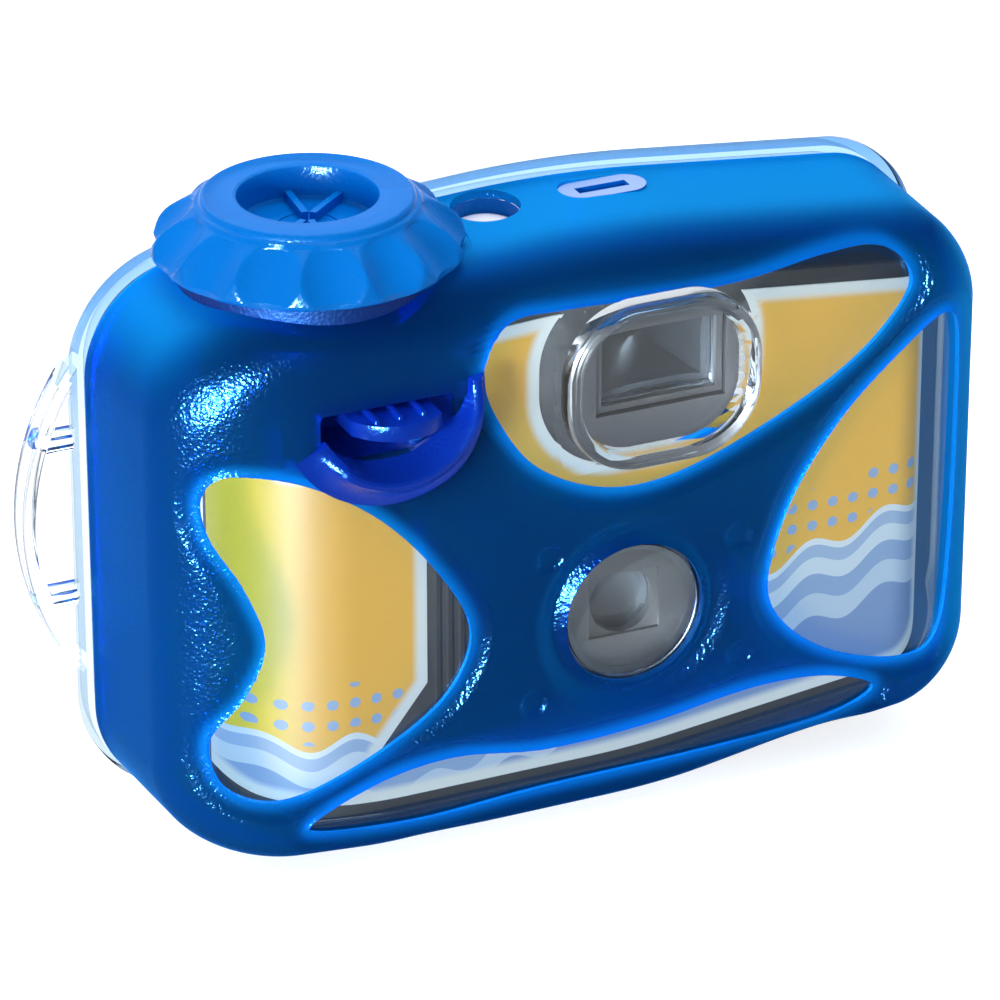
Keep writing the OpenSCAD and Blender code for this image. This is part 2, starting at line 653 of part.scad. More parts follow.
module release_plunger() {
    color(knob_blue) difference() {
        union() {
            rod_z(plunger_x, plunger_y, plunger_z0, plunger_z1 - head_t, plunger_r);
            rod_z(plunger_x, plunger_y, plunger_z1 - head_t, plunger_z1 - 0.3, head_r + 0.7);
            rod_z(plunger_x, plunger_y, plunger_z1 - 0.4, plunger_z1, 1.2);
        }
        tube_z(plunger_x, plunger_y, plunger_seal_z - plunger_seal_r - 0.05, plunger_seal_z + plunger_seal_r + 0.05,
            plunger_r + 1, plunger_r - 2 * plunger_seal_r);
    }
}
module plunger_seal() {
    color(rubber) translate([plunger_x, plunger_y, plunger_seal_z]) rotate_extrude()
        translate([plunger_r - plunger_seal_r, 0]) circle(r = plunger_seal_r);
}
spring_wire = 0.15;
spring_turns = 2;
spring_z0 = pocket_z0 + spring_wire + 0.05;
spring_z1 = plunger_z1 - head_t - spring_wire - 0.05;
// Unbroken coil: rings of six points along a helix
function coil_point(r, g, z) = [r * cos(g), r * sin(g), z];
module coil(r, wire, z0, z1, turns) {
    rings = turns * 8;
    tilt = atan((z1 - z0) / (2 * PI * r * turns));
    points = [for (k = [0 : rings], s = [0 : 5])
        let (g = 360 * turns * k / rings, a = 60 * s, z = z0 + (z1 - z0) * k / rings,
            out = [cos(g), sin(g), 0], up = [sin(g) * sin(tilt), -cos(g) * sin(tilt), cos(tilt)])
        coil_point(r, g, z) + wire * (cos(a) * out + sin(a) * up)];
    sides = [for (k = [0 : rings - 1], s = [0 : 5])
        let (a = k * 6 + s, b = k * 6 + (s + 1) % 6, c = (k + 1) * 6 + (s + 1) % 6, d = (k + 1) * 6 + s)
        each [[a, b, c], [a, c, d]]];
    polyhedron(points, concat([[5, 4, 3, 2, 1, 0]], [[for (s = [0 : 5]) rings * 6 + s]], sides));
}
module plunger_spring() {
    color(steel) translate([plunger_x, plunger_y, 0])
        coil(plunger_r + 0.55, spring_wire, spring_z0, spring_z1, spring_turns);
}

// Block of the inner camera, drawn in by e
function cam_plan(e) = let (r = cover_r - e, x1 = cam_right - e, y1 = cam_rear - e, c = 6 - e) concat(
    [for (k = [0 : 16]) let (g = 90 + 180 * k / 16) [axis_x + r * cos(g), axis_y + r * sin(g)]],
    [for (k = [0 : 6]) let (g = 270 + 90 * k / 6) [x1 - c + c * cos(g), axis_y - r + c + c * sin(g)]],
    [for (k = [0 : 6]) let (g = 90 * k / 6) [x1 - c + c * cos(g), y1 - c + c * sin(g)]],
    [[axis_x + cover_r, y1]]);
module cam_block(e) {
    intersection() {
        translate([0, 0, e]) linear_extrude(cam_top - 2 * e) polygon(cam_plan(e));
        along_y(-40, 30, rounded(draw_in(draw_in(case_corners, cam_draw, cam_inset), even_draw, e)));
    }
}
module cam_openings() {
    rod_y(lens_x, lens_z, -40, axis_y, lens_r + 1.4 + seat_gap);
    block(finder_x - finder_w / 2 - finder_wall - seat_gap, -40, finder_z - finder_h / 2 - finder_wall - seat_gap,
        finder_x + finder_w / 2 + finder_wall + seat_gap, 0, finder_z + finder_h / 2 + finder_wall + seat_gap);
    block(finder_x - 5.8, 0, finder_z - 4.6, finder_x + 5.8, 40, finder_z + 4.6);
    rod_z(axis_x, axis_y, -1, 12, cassette_r + 0.3);
    block(pocket_x0 - pocket_wall - 0.5, -40, pocket_z0 - pocket_wall - 0.5,
        pocket_x1 + pocket_wall + 0.5, pocket_y + pocket_wall + 0.5, pocket_z1 + pocket_wall + 0.5);
    block(button_x0 - 0.25, -40, button_z0 - 2, button_x1 + 0.25, button_y + 0.25, pocket_z0);
    rod_z(axis_x, axis_y, cam_top - 4, cam_top + 1, shaft_r + 1);
    rod_z(counter_x, counter_y, cam_top - 4, cam_top + 1, 3);
}
// The front cover keeps clear of the rounded inside of the front shell
module front_cover() {
    color(black) difference() {
        intersection() {
            cam_block(0);
            loft(front_rings(cavity_e + cam_gap, 10));
        }
        intersection() {
            cam_block(cover_t);
            loft(front_rings(cavity_e + cam_gap + cover_t, 12));
        }
        block(-80, cam_split, -10, 80, 40, 100);
        cam_openings();
    }
}
module rear_cover() {
    color(black) difference() {
        cam_block(0);
        cam_block(cover_t);
        block(-80, -60, -10, 80, cam_split + bond_gap, 100);
        cam_openings();
    }
}
// Corner left out of the label beside the lens, from the lever and the lens height
label_notch = [[6.6, 18], [6.6, -6.5], [-0.4, -15.4], [20, -15.4], [20, 18]];
module front_label() {
    color(label_yellow) difference() {
        intersection() {
            linear_extrude(100) difference() {
                polygon(cam_plan(-label_t - bond_gap));
                polygon(cam_plan(-bond_gap));
            }
            along_y(-40, axis_y - 3, rounded(draw_in(case_corners, label_draw, cam_inset)));
        }
        block(-80, -60, cam_top - 1.2, 80, 40, 100);
        rod_y(lens_x, lens_z, -40, axis_y, port_r + 0.5);
        along_y(-40, axis_y, collar_ring(1.4));
        along_y(-40, axis_y, [for (p = label_notch) [lever_x + p[0], lens_z + p[1]]]);
        block(pocket_x0 - pocket_wall - 0.8, -40, pocket_z0 - 3.5, pocket_x1 + pocket_wall + 0.8, 0, 100);
        block(button_x0 - 0.6, -40, button_z0 - 2.6, button_x1 + 0.6, 0, 100);
    }
}
// Film gate, deck and supply chamber
module main_frame() {
    edge_l = axis_x + cassette_r + 1.2;
    color(black) difference() {
        union() {
            block(edge_l, gate_y, film_z0 + 0.3, supply_x, gate_y + gate_t, deck_z + deck_t);
            block(edge_l, sprocket_y - 4, deck_z, supply_x + 4, gate_y + gate_t, deck_z + deck_t);
            rod_z(supply_x, supply_y, film_z0 + 0.8, deck_z + deck_t, chamber_r + chamber_wall);
            rod_z(supply_x, supply_y, deck_z, deck_z + 4, 3.2);
            rod_z(sprocket_x, sprocket_y, deck_z - 1, deck_z + 4, axle_r + 1.4);
            rod_z(disc_x, disc_y, deck_z, disc_z - 0.3, 1.25);
            rod_z(disc_x, disc_y, deck_z, disc_z + disc_t, 1);
        }
        rod_z(supply_x, supply_y, 0, deck_z, chamber_r);
        rod_z(supply_x, supply_y, 0, 60, 1.8 + run_fit);
        rod_z(sprocket_x, sprocket_y, 0, 60, axle_r + run_fit);
        rod_z(sprocket_x, sprocket_y, sprocket_z - 2.4, deck_z, sprocket_r + 1.6);
        block(lens_x - frame_w / 2, -20, lens_z - frame_h / 2, lens_x + frame_w / 2, 20, lens_z + frame_h / 2);
        block(edge_l - 1, film_y - 0.2, film_z0 - 0.6, supply_x + 20, film_y + 5, film_z1 + 0.6);
    }
}
module finder_tube() {
    w = finder_w / 2;
    h = finder_h / 2;
    y0 = cover_front + 0.8;
    y1 = cam_rear - cover_t - 0.2;
    color(black) translate([finder_x, 0, finder_z]) difference() {
        block(-w - finder_wall, y0, -h - finder_wall, w + finder_wall, y1, h + finder_wall);
        block(-w, y0 - 1, -h, w, y0 + 3.4, h);
        loft([frame_ring(5.2, 4, y1 + 1), frame_ring(w - 0.8, h - 0.8, y0 + 3)]);
    }
}
function frame_ring(w, h, y) = [[-w, y, -h], [w, y, -h], [w, y, h], [-w, y, h]];
module finder_front_lens() {
    y0 = cover_front + 1.4;
    color(clear) translate([finder_x, 0, finder_z]) difference() {
        block(-finder_w / 2 + 0.1, y0, -finder_h / 2 + 0.1, finder_w / 2 - 0.1, y0 + 2, finder_h / 2 - 0.1);
        translate([0, y0 - 13.2, 0]) sphere(r = 14.4, $fn = 64);
    }
}
module finder_rear_lens() {
    y1 = cam_rear - cover_t - 0.2;
    color(clear) translate([finder_x, 0, finder_z]) union() {
        block(-5.6, y1 + 0.05, -4.4, 5.6, y1 + 1.2, 4.4);
        intersection() {
            block(-4.2, y1 + 1, -3.4, 4.2, y1 + 3, 3.4);
            translate([0, y1 + 2 - 14, 0]) sphere(r = 14, $fn = 64);
        }
    }
}
bezel_y = cavity_y + 1.1;
module lens_bezel() {
    color([0.2, 0.2, 0.22]) difference() {
        union() {
            rod_y(lens_x, lens_z, bezel_y, cover_front - bond_gap, port_r + 0.3);
            rod_y(lens_x, lens_z, bezel_y, board_y - 0.05, lens_r + 1.4);
        }
        block(lens_x - 4.8, bezel_y - 1, lens_z - 4.2, lens_x + 4.8, bezel_y + 0.7, lens_z + 4.2);
        rod_y(lens_x, lens_z, bezel_y - 1, board_y + 1, lens_r - 1);
        rod_y(lens_x, lens_z, bezel_y + 2, board_y + 1, lens_r + 0.05);
    }
}
module taking_lens() {
    bulge = 9;
    color(clear) intersection() {
        rod_y(lens_x, lens_z, bezel_y + 0.9, board_y - 0.4, lens_r);
        union() {
            rod_y(lens_x, lens_z, bezel_y + 2.1, bezel_y + 3.4, lens_r);
            intersection() {
                rod_y(lens_x, lens_z, bezel_y + 0.6, bezel_y + 3, lens_r - 1.1);
                translate([lens_x, bezel_y + 1.1 + bulge, lens_z]) sphere(r = bulge, $fn = 64);
            }
        }
    }
}
module lens_plate() {
    color(black) difference() {
        union() {
            block(lens_x - 15, board_y, lens_z - 13, lens_x + 14, board_y + board_t, lens_z + 14);
            rod_y(blade_pivot[0], blade_pivot[1], board_y, blade_y + blade_t + 0.9, stud_r);
            rod_y(strike_pivot[0], strike_pivot[1], board_y, strike_y + strike_t + 0.6, stud_r);
        }
        rod_y(lens_x, lens_z, board_y - 1, board_y + 3, 1.6);
    }
}
chamber_y0 = strike_y + strike_t + 0.6;
module light_chamber() {
    mouth = 5;
    color(black) translate([lens_x, 0, lens_z]) difference() {
        loft([frame_ring(frame_w / 2 + 1.2, frame_h / 2 + 1.2, gate_y - 0.05),
            frame_ring(mouth + 1.2, mouth + 1.2, chamber_y0)]);
        loft([frame_ring(frame_w / 2, frame_h / 2, gate_y + 0.5), frame_ring(mouth, mouth, chamber_y0 - 0.5)]);
    }
}
module shutter_blade() {
    color(steel) difference() {
        union() {
            rod_y(blade_pivot[0], blade_pivot[1], blade_y, blade_y + blade_t, 2.2);
            rod_y(lens_x, lens_z, blade_y, blade_y + blade_t, 3);
            along_y(blade_y, blade_y + blade_t, [[lens_x - 1, lens_z - 2.4], [blade_pivot[0] + 1.2, blade_pivot[1] - 1.8],
                [blade_pivot[0] - 1.2, blade_pivot[1] + 1.8], [lens_x - 2, lens_z + 2.2]]);
        }
        rod_y(blade_pivot[0], blade_pivot[1], blade_y - 1, blade_y + 2, stud_r + run_fit);
    }
}
// Small torsion springs: a ring on the stud with two straight legs
module torsion_spring(p, y, legs) {
    w = 0.2;
    color(steel) union() {
        translate([p[0], y, p[1]]) rotate([90, 0, 0]) rotate_extrude() translate([stud_r + 0.5, 0]) circle(r = w);
        for (g = legs) translate([p[0], y, p[1]]) rotate([0, -g, 0]) translate([stud_r + 0.5, 0, 0])
            rotate([0, 90, 0]) cylinder(r = w, h = 4.5);
    }
}
module shutter_spring() {
    torsion_spring(blade_pivot, blade_y + blade_t + 0.4, [80, 20]);
}
module strike_lever() {
    p = strike_pivot;
    color(steel) difference() {
        union() {
            rod_y(p[0], p[1], strike_y, strike_y + strike_t, 2.4);
            along_y(strike_y, strike_y + strike_t, [[p[0] + 0.5, p[1] - 1.6], [p[0] + 10.5, p[1] + 0.2],
                [p[0] + 10.5, p[1] + 1.8], [p[0] + 0.5, p[1] + 1.6]]);
            along_y(strike_y, strike_y + strike_t, [[p[0] - 5.6, p[1] - 0.8], [p[0], p[1] - 1.2],
                [p[0], p[1] + 1.2], [p[0] - 5.6, p[1] + 0.8]]);
        }
        rod_y(p[0], p[1], strike_y - 1, strike_y + 3, stud_r + run_fit);
    }
}
module strike_spring() {
    torsion_spring(strike_pivot, strike_y + strike_t + 0.4, [150, 100]);
}
button_x0 = plunger_x - 2.3;
button_x1 = plunger_x + 2.3;
button_z1 = plunger_z0 - 0.3;
button_z0 = button_z1 - 2.6;
button_y = -18.4;
module release_button() {
    color(black) union() {
        block(button_x0, plunger_y - 1, button_z0, button_x1, button_y, button_z1);
        block(button_x0 + 1, button_y - 3, button_z0 - 1.2, button_x1 - 1, button_y, button_z0 + 0.2);
    }
}

module winding_wheel() {
    teeth = 36;
    color(black) difference() {
        union() {
            rod_z(axis_x, axis_y, wheel_z, wheel_z + wheel_t, wheel_r - 0.6);
            for (i = [0 : teeth - 1]) translate([axis_x, axis_y, wheel_z]) rotate([0, 0, i * 360 / teeth])
                translate([wheel_r - 1.2, -0.45, 0.3]) cube([1.2, 0.9, wheel_t - 0.6]);
            rod_z(axis_x, axis_y, spool_z1 - 3, wheel_z + 0.1, 2.9);
        }
        translate([axis_x - key_w / 2 - 0.05, axis_y - key_w / 2 - 0.05, wheel_z + 0.3])
            cube([key_w + 0.1, key_w + 0.1, wheel_t + 1]);
    }
}
module wind_pawl() {
    x = axis_x + wheel_r + 0.35;
    color(steel) union() {
        block(x, axis_y - 0.4, wheel_z + 0.6, x + 0.5, axis_y + 9, wheel_z + wheel_t - 0.4);
        block(x, axis_y + 8, deck_z + deck_t + 0.05, x + 3, axis_y + 9, wheel_z + wheel_t - 0.4);
    }
}
module sprocket() {
    color(black) union() {
        rod_z(sprocket_x, sprocket_y, sprocket_z - 1.6, sprocket_z + 3.4, sprocket_r);
        for (i = [0 : 7]) translate([sprocket_x, sprocket_y, sprocket_z]) rotate([0, 0, i * 45 + 22.5])
            translate([sprocket_r - 0.4, 0, 0]) rotate([0, 90, 0]) cylinder(r1 = 0.9, r2 = 0.5, h = 1.5, $fn = 24);
        rod_z(sprocket_x, sprocket_y, sprocket_z, deck_z + 9, axle_r);
    }
}
cam_z = deck_z + 4.3;
module charge_cam() {
    color(black) difference() {
        union() {
            rod_z(sprocket_x, sprocket_y, cam_z, cam_z + 3, 3.4);
            rod_z(sprocket_x + 1.8, sprocket_y, cam_z, cam_z + 1.6, 3);
        }
        rod_z(sprocket_x, sprocket_y, cam_z - 1, cam_z + 8, axle_r + 0.02);
    }
}
module counter_disc() {
    teeth = 40;
    color([0.93, 0.93, 0.9]) difference() {
        union() {
            rod_z(disc_x, disc_y, disc_z, disc_z + disc_t, disc_r - 0.5);
            for (i = [0 : teeth - 1]) translate([disc_x, disc_y, disc_z]) rotate([0, 0, i * 360 / teeth])
                translate([disc_r - 0.8, -0.3, 0]) cube([0.8, 0.6, disc_t]);
        }
        rod_z(disc_x, disc_y, disc_z - 1, disc_z + 3, 1 + run_fit);
    }
}

// Film cassette, film and supply roll
can_t = 0.4;
module cassette_can() {
    color([0.25, 0.26, 0.28]) difference() {
        union() {
            tube_z(axis_x, axis_y, cassette_z0 + cap_t, cassette_z1 - cap_t, cassette_r, cassette_r - can_t);
            block(axis_x + 4, film_y - 1, cassette_z0 + 2.4, axis_x + 13, film_y + 1.2, cassette_z1 - 2.4);
        }
        rod_z(axis_x, axis_y, cassette_z0, cassette_z1, cassette_r - can_t - 0.01);
        block(axis_x - 5, film_y - 0.3, film_z0 - 0.4, axis_x + 20, film_y + 0.45, film_z1 + 0.4);
    }
}
module cassette_cap(z) {
    color(steel) tube_z(axis_x, axis_y, z, z + cap_t, cassette_r + 0.15, spool_r + 0.25);
}
module cassette_cap_top() {
    cassette_cap(cassette_z1 - cap_t);
}
module cassette_cap_bottom() {
    cassette_cap(cassette_z0);
}
module cassette_spool() {
    color(black) difference() {
        union() {
            rod_z(axis_x, axis_y, cassette_z0 + 0.3, spool_z1, spool_r);
            for (z = [film_z0 - 1.4, film_z1 + 0.4])
                rod_z(axis_x, axis_y, z, z + 1, spool_r + 4.4);
        }
        rod_z(axis_x, axis_y, spool_z1 - 3.2, spool_z1 + 1, 3);
    }
}
module film_strip() {
    x0 = axis_x + cassette_r - 5.8;
    x1 = supply_x - 3;
    pitch = 4.75;
    color([0.35, 0.2, 0.12]) difference() {
        block(x0, film_y, film_z0, x1, film_y + film_t, film_z1);
        for (i = [1 : floor((x1 - x0) / pitch)], s = [-1, 1])
            block(x0 + i * pitch - 2.8, film_y - 1, lens_z + s * (film_w / 2 - 3) - 1,
                x0 + i * pitch - 0.8, film_y + 1, lens_z + s * (film_w / 2 - 3) + 1);
    }
}
core_r = 3.6;
module film_roll() {
    color([0.35, 0.2, 0.12]) tube_z(supply_x, supply_y, film_z0, film_z1,
        roll_r, core_r + bond_gap);
}
module supply_spool() {
    color(black) union() {
        rod_z(supply_x, supply_y, film_z0 - 0.2, film_z1 + 0.4, core_r);
        rod_z(supply_x, supply_y, film_z1, deck_z + 4, 1.8);
    }
}

front_shell();
front_skin();
rear_shell();
shell_gasket();
lens_window();
counter_lens();
advance_knob();
knob_shaft();
knob_seal();
knob_clip();
shutter_lever();
lever_pin();
release_plunger();
plunger_seal();
plunger_spring();
front_cover();
main_frame();
rear_cover();
front_label();
finder_tube();
finder_front_lens();
finder_rear_lens();
lens_bezel();
taking_lens();
lens_plate();
light_chamber();
shutter_blade();
shutter_spring();
strike_lever();
strike_spring();
release_button();
winding_wheel();
wind_pawl();
sprocket();
charge_cam();
counter_disc();
cassette_can();
cassette_cap_top();
cassette_cap_bottom();
cassette_spool();
film_strip();
film_roll();
supply_spool();
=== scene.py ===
import math

import bmesh
import bpy
import numpy as np
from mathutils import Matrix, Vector


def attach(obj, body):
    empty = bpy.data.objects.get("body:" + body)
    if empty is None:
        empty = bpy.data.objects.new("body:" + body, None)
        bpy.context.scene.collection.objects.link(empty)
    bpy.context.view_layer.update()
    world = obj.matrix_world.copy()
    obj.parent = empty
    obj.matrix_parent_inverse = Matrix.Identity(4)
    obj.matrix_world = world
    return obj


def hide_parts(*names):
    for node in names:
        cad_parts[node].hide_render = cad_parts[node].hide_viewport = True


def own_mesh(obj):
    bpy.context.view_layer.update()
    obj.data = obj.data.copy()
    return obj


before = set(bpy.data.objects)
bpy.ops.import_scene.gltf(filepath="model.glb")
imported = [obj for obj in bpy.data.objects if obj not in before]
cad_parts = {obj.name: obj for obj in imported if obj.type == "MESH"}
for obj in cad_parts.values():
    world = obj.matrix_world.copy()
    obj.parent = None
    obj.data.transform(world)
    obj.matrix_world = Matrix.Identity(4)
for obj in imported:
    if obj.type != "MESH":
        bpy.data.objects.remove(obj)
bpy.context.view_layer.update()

MM, FAR = 0.001, 1000.0

# Sizes of the case in millimetres, as in the part's source, apart from the place of the guard, the bow of the lever
# and the top of the latch, which follow the photograph.
BODY_LEFT, BODY_RIGHT = 57.5, 60.5
TOP_PEAK, PEAK_X, TOP_LEFT = 80.2, 8.0, 76.7
WINDOW_Z = 1.2
CASE = [(-34, 0, 80), (10, 0, 120), (BODY_RIGHT, 5.5, 13), (BODY_RIGHT, 74.4, 13),
        (PEAK_X, TOP_PEAK, 160), (-BODY_LEFT, TOP_LEFT, 15), (-BODY_LEFT, 2, 15)]
EVEN = (1,) * 7
FRONT_DRAW = (0.3, 0.3, 0.8, 1, 1.2, 1.9, 0.4)
KNOB_DRAW = (0.3, 0.3, 0.8, 1, 0.5, 1.9, 0.4)
REAR_DRAW = (0.4, 0.4, 1, 1, 1, 1.1, 0.5)
RIM_DRAW = (-0.2, -0.2, 1, 1, 1, 1, -0.2)
FRONT_DEPTH, REAR_DEPTH = 27.5, 12.0
FRONT_ROUND, FRONT_INSET, DRAFT = 11.0, 8.4, 0.6
REAR_ROUND, REAR_INSET = 8.0, 7.0
SKIN_T, BOND_GAP, WALL_T = 1.2, 0.05, 1.4
SHELL_E = SKIN_T + BOND_GAP
CAVITY_E = SHELL_E + WALL_T
RIM_W, RIM_T = 1.6, 2.6
FRONT_Y = -FRONT_DEPTH
BEAD_H, BEAD_W, BEAD_LIP, BEAD_RISE, BEAD_CREST = 0.9, 3.0, 0.55, 0.45, 0.3
LENS_X, LENS_Z = 7.7, 28.2
PORT_R, PORT_RIM_R, PORT_RIM_H, PORT_SKIRT = 9.9, 12.8, 1.2, 1.8
FINDER_X, FINDER_Z = 13.4, 61.2
COLLAR_W, COLLAR_H, COLLAR_OUT, COLLAR_ROUND = 27.5, 23.0, 1.8, 10.0
COLLAR_X = FINDER_X - 2.2
COUNTER_X, COUNTER_Y, COUNTER_R = -3.6, -5.1, 4.6
COUNTER_FLOOR = TOP_PEAK - 5
AXIS_X, AXIS_Y = -29.6, -8.0
SEAT_R = 18.6
SEAT_Z = TOP_LEFT + (TOP_PEAK - TOP_LEFT) * (AXIS_X + BODY_LEFT) / (PEAK_X + BODY_LEFT) + 0.4
KNOB_R, KNOB_H = 20.2, 7.8
KNOB_Z0 = SEAT_Z + 0.4
WELL_R, SHAFT_R = 9.0, 4.0
FLUTES, SCOOP_R, SCOOP_EDGE = 14, 4.9, 0.3
LEVER_X, LEVER_Z, LEVER_OUT, BOW_R = -26.4, 63.7, 4.0, 7.4
POCKET_W, POCKET_H, POCKET_WALL = 18.4, 7.0, 1.2
POCKET_X0 = LEVER_X - 0.8 - POCKET_W / 2
POCKET_X1 = POCKET_X0 + POCKET_W
POCKET_Z0 = LEVER_Z - 5.7
POCKET_Z1 = POCKET_Z0 + POCKET_H
POCKET_Y = -16.8
PLUNGER_X, PLUNGER_Y, PLUNGER_R = -22.0, -23.4, 1.5
GUARD_X, GUARD_Z, GUARD_LIP = LEVER_X, LEVER_Z + 2.6, 10.75
GUARD_OUTER, GUARD_INNER = 11.6, 10.5
LOOP_REACH, LOOP_L, LOOP_Z, LOOP_T, LOOP_BAND = 8.8, 50.0, 42.7, 4.2, 2.1
SLOT_L, STRUT_T = 20.0, 2.2
LATCH_X, LATCH_Y, LATCH_W, LATCH_D = 13.0, -5.2, 12.2, 5.6
LATCH_TOP = TOP_PEAK - 1.1
CAM_RIGHT, CAM_TOP, CAM_INSET, CAM_BEND = BODY_RIGHT - 6.5, 71.7, 7.0, 6.0
COVER_R, LABEL_T, LABEL_LOW, LABEL_HIGH = 14.2, 0.25, 2.0, 72.0
LABEL_TOP = CAM_TOP - 1.2
LABEL_DRAW = (0.8, 0.8, 0.95, 1.3, 1.3, 1.5, 0.9)
BOSSES = [(-12.3, 10.4), (15, 8.4), (-14.5, -10.2), (15.3, -9.3)]

# Outlines of the four windows, each from its own corner of the case.
LEFT_WINDOW = [(x - BODY_LEFT, z + WINDOW_Z) for x, z in [
    (10, 57), (6.5, 54.5), (7, 48.5), (11, 41), (13.5, 33), (11, 26), (6.7, 19.5), (8.5, 12.5),
    (16, 10), (27.5, 13.5), (38, 20), (42, 28.5), (38, 37.5), (29.5, 47.5), (19, 54.5)]]
UPPER_WINDOW = [(x + PEAK_X, z + TOP_PEAK) for x, z in [
    (-21.5, -13), (-20, -20), (-14, -28.5), (-4, -33.4), (7, -33), (22, -27.2), (33, -20.5),
    (39.5, -12.5), (37, -8), (28, -7.2), (12, -8), (-9, -7.5), (-18, -8)]]
RIGHT_WINDOW = [(x + BODY_RIGHT, z + WINDOW_Z) for x, z in [
    (-33.2, 27), (-30, 20), (-22.5, 14.5), (-12.5, 11.8), (-7.5, 15), (-5.7, 28), (-5.2, 45), (-5.5, 58),
    (-8, 61.5), (-14.5, 57), (-23, 49), (-30, 38.5)]]
LOWER_WINDOW = [(x, z + WINDOW_Z) for x, z in [
    (-38.5, 5), (-24, 3.1), (-5, 3.9), (18, 4.2), (36, 5.2), (43.5, 8.3), (36, 11.5), (25, 12), (10, 10),
    (-5, 9.5), (-18, 11.2), (-29, 9.7)]]


# Outlines

def unit(v):
    return v / np.linalg.norm(v)


def draw_in(corners, weights, d):
    """Corners of an outline with each edge moved inwards by d times its weight."""
    n = len(corners)
    points = [np.array(c[:2], float) for c in corners]
    moved = []
    for i in range(n):
        u = unit(points[i] - points[i - 1])
        v = unit(points[(i + 1) % n] - points[i])
        p = points[i] + d * weights[i - 1] * np.array([-u[1], u[0]])
        q = points[i] + d * weights[i] * np.array([-v[1], v[0]])
        cross = u[0] * v[1] - u[1] * v[0]
        w = q - p
        m = p + u * (w[0] * v[1] - w[1] * v[0]) / cross
        moved.append((m[0], m[1], max(1.5, corners[i][2] - d * (weights[i - 1] + weights[i]) / 2)))
    return moved


def corner_arcs(corners):
    """For each corner the centre, radius, start angle and sweep of its rounding."""
    n = len(corners)
    points = [np.array(c[:2], float) for c in corners]
    arcs = []
    for i in range(n):
        u = unit(points[i - 1] - points[i])
        v = unit(points[(i + 1) % n] - points[i])
        half = math.acos(float(u @ v)) / 2
        r = corners[i][2]
        centre = points[i] + unit(u + v) * r / math.sin(half)
        start = points[i] + u * r / math.tan(half) - centre
        arcs.append((centre, r, math.atan2(start[1], start[0]), math.pi - 2 * half))
    return arcs


def step_counts(corners, spacing):
    """How many steps each arc and each straight of an outline takes at a spacing."""
    arcs = corner_arcs(corners)
    counts = []
    for i, (c, r, a, s) in enumerate(arcs):
        c2, r2, a2 = arcs[(i + 1) % len(arcs)][:3]
        end = c + r * np.array([math.cos(a + s), math.sin(a + s)])
        start = c2 + r2 * np.array([math.cos(a2), math.sin(a2)])
        counts.append((max(4, round(r * s / spacing)), max(1, round(float(np.linalg.norm(start - end)) / spacing))))
    return counts


def trace(corners, counts):
    """Points of a rounded outline, with the same number of steps whatever its size."""
    arcs = corner_arcs(corners)
    points = []
    for i, (c, r, a, s) in enumerate(arcs):
        c2, r2, a2 = arcs[(i + 1) % len(arcs)][:3]
        n, m = counts[i]
        for k in range(n + 1):
            points.append(c + r * np.array([math.cos(a + s * k / n), math.sin(a + s * k / n)]))
        start = c2 + r2 * np.array([math.cos(a2), math.sin(a2)])
        end = points[-1]
        for k in range(1, m):
            points.append(end + (start - end) * k / m)
    return np.array(points)


def closed_curve(points, steps):
    """Smooth closed curve through points."""
    p = np.array(points, float)
    a, b, c, d = np.roll(p, 1, 0), p, np.roll(p, -1, 0), np.roll(p, -2, 0)
    out = []
    for i in range(len(p)):
        for k in range(steps):
            t = k / steps
            out.append(0.5 * (2 * b[i] + (c[i] - a[i]) * t + (2 * a[i] - 5 * b[i] + 4 * c[i] - d[i]) * t * t
                              + (3 * b[i] - a[i] - 3 * c[i] + d[i]) * t ** 3))
    return np.array(out)


def box_corners(x0, z0, x1, z1, r):
    return [(x0, z0, r), (x1, z0, r), (x1, z1, r), (x0, z1, r)]


def rounded_box(x0, z0, x1, z1, r, spacing=0.6):
    corners = box_corners(x0, z0, x1, z1, r)
    return trace(corners, step_counts(corners, spacing))


WINDOWS = [closed_curve(w, 14) for w in (LEFT_WINDOW, UPPER_WINDOW, RIGHT_WINDOW, LOWER_WINDOW)]


def inside(points, curve):
    """True for each point that lies inside a closed curve."""
    x, z = points[:, 0], points[:, 1]
    result = np.zeros(len(points), bool)
    for (x0, z0), (x1, z1) in zip(curve, np.roll(curve, -1, 0)):
        if z0 == z1:
            continue
        result ^= ((z0 > z) != (z1 > z)) & (x < (x1 - x0) * (z - z0) / (z1 - z0) + x0)
    return result


def curve_distance(points, curve):
    """Distance from each point to a closed curve."""
    nearest = np.full(len(points), FAR)
    for a, b in zip(curve, np.roll(curve, -1, 0)):
        ab = b - a
        t = np.clip(((points - a) @ ab) / max(ab @ ab, 1e-9), 0, 1)
        nearest = np.minimum(nearest, np.hypot(*(points - a - t[:, None] * ab).T))
    return nearest


def window_distance(points):
    """Signed distance from each point to the nearest window edge, positive outside."""
    best = np.full(len(points), FAR)
    for curve in WINDOWS:
        gap = curve_distance(points, curve)
        best = np.minimum(best, np.where(inside(points, curve), -gap, gap))
    return best


def smooth_step(lo, hi, x):
    t = np.clip((x - lo) / (hi - lo), 0, 1)
    return t * t * (3 - 2 * t)


# Meshes

def new_piece(name, verts, faces):
    """Mesh object from points in millimetres."""
    mesh = bpy.data.meshes.new(name)
    mesh.from_pydata((np.asarray(verts, float) * MM).tolist(), [], [list(map(int, f)) for f in faces])
    mesh.validate()
    obj = bpy.data.objects.new(name, mesh)
    bpy.context.scene.collection.objects.link(obj)
    return obj


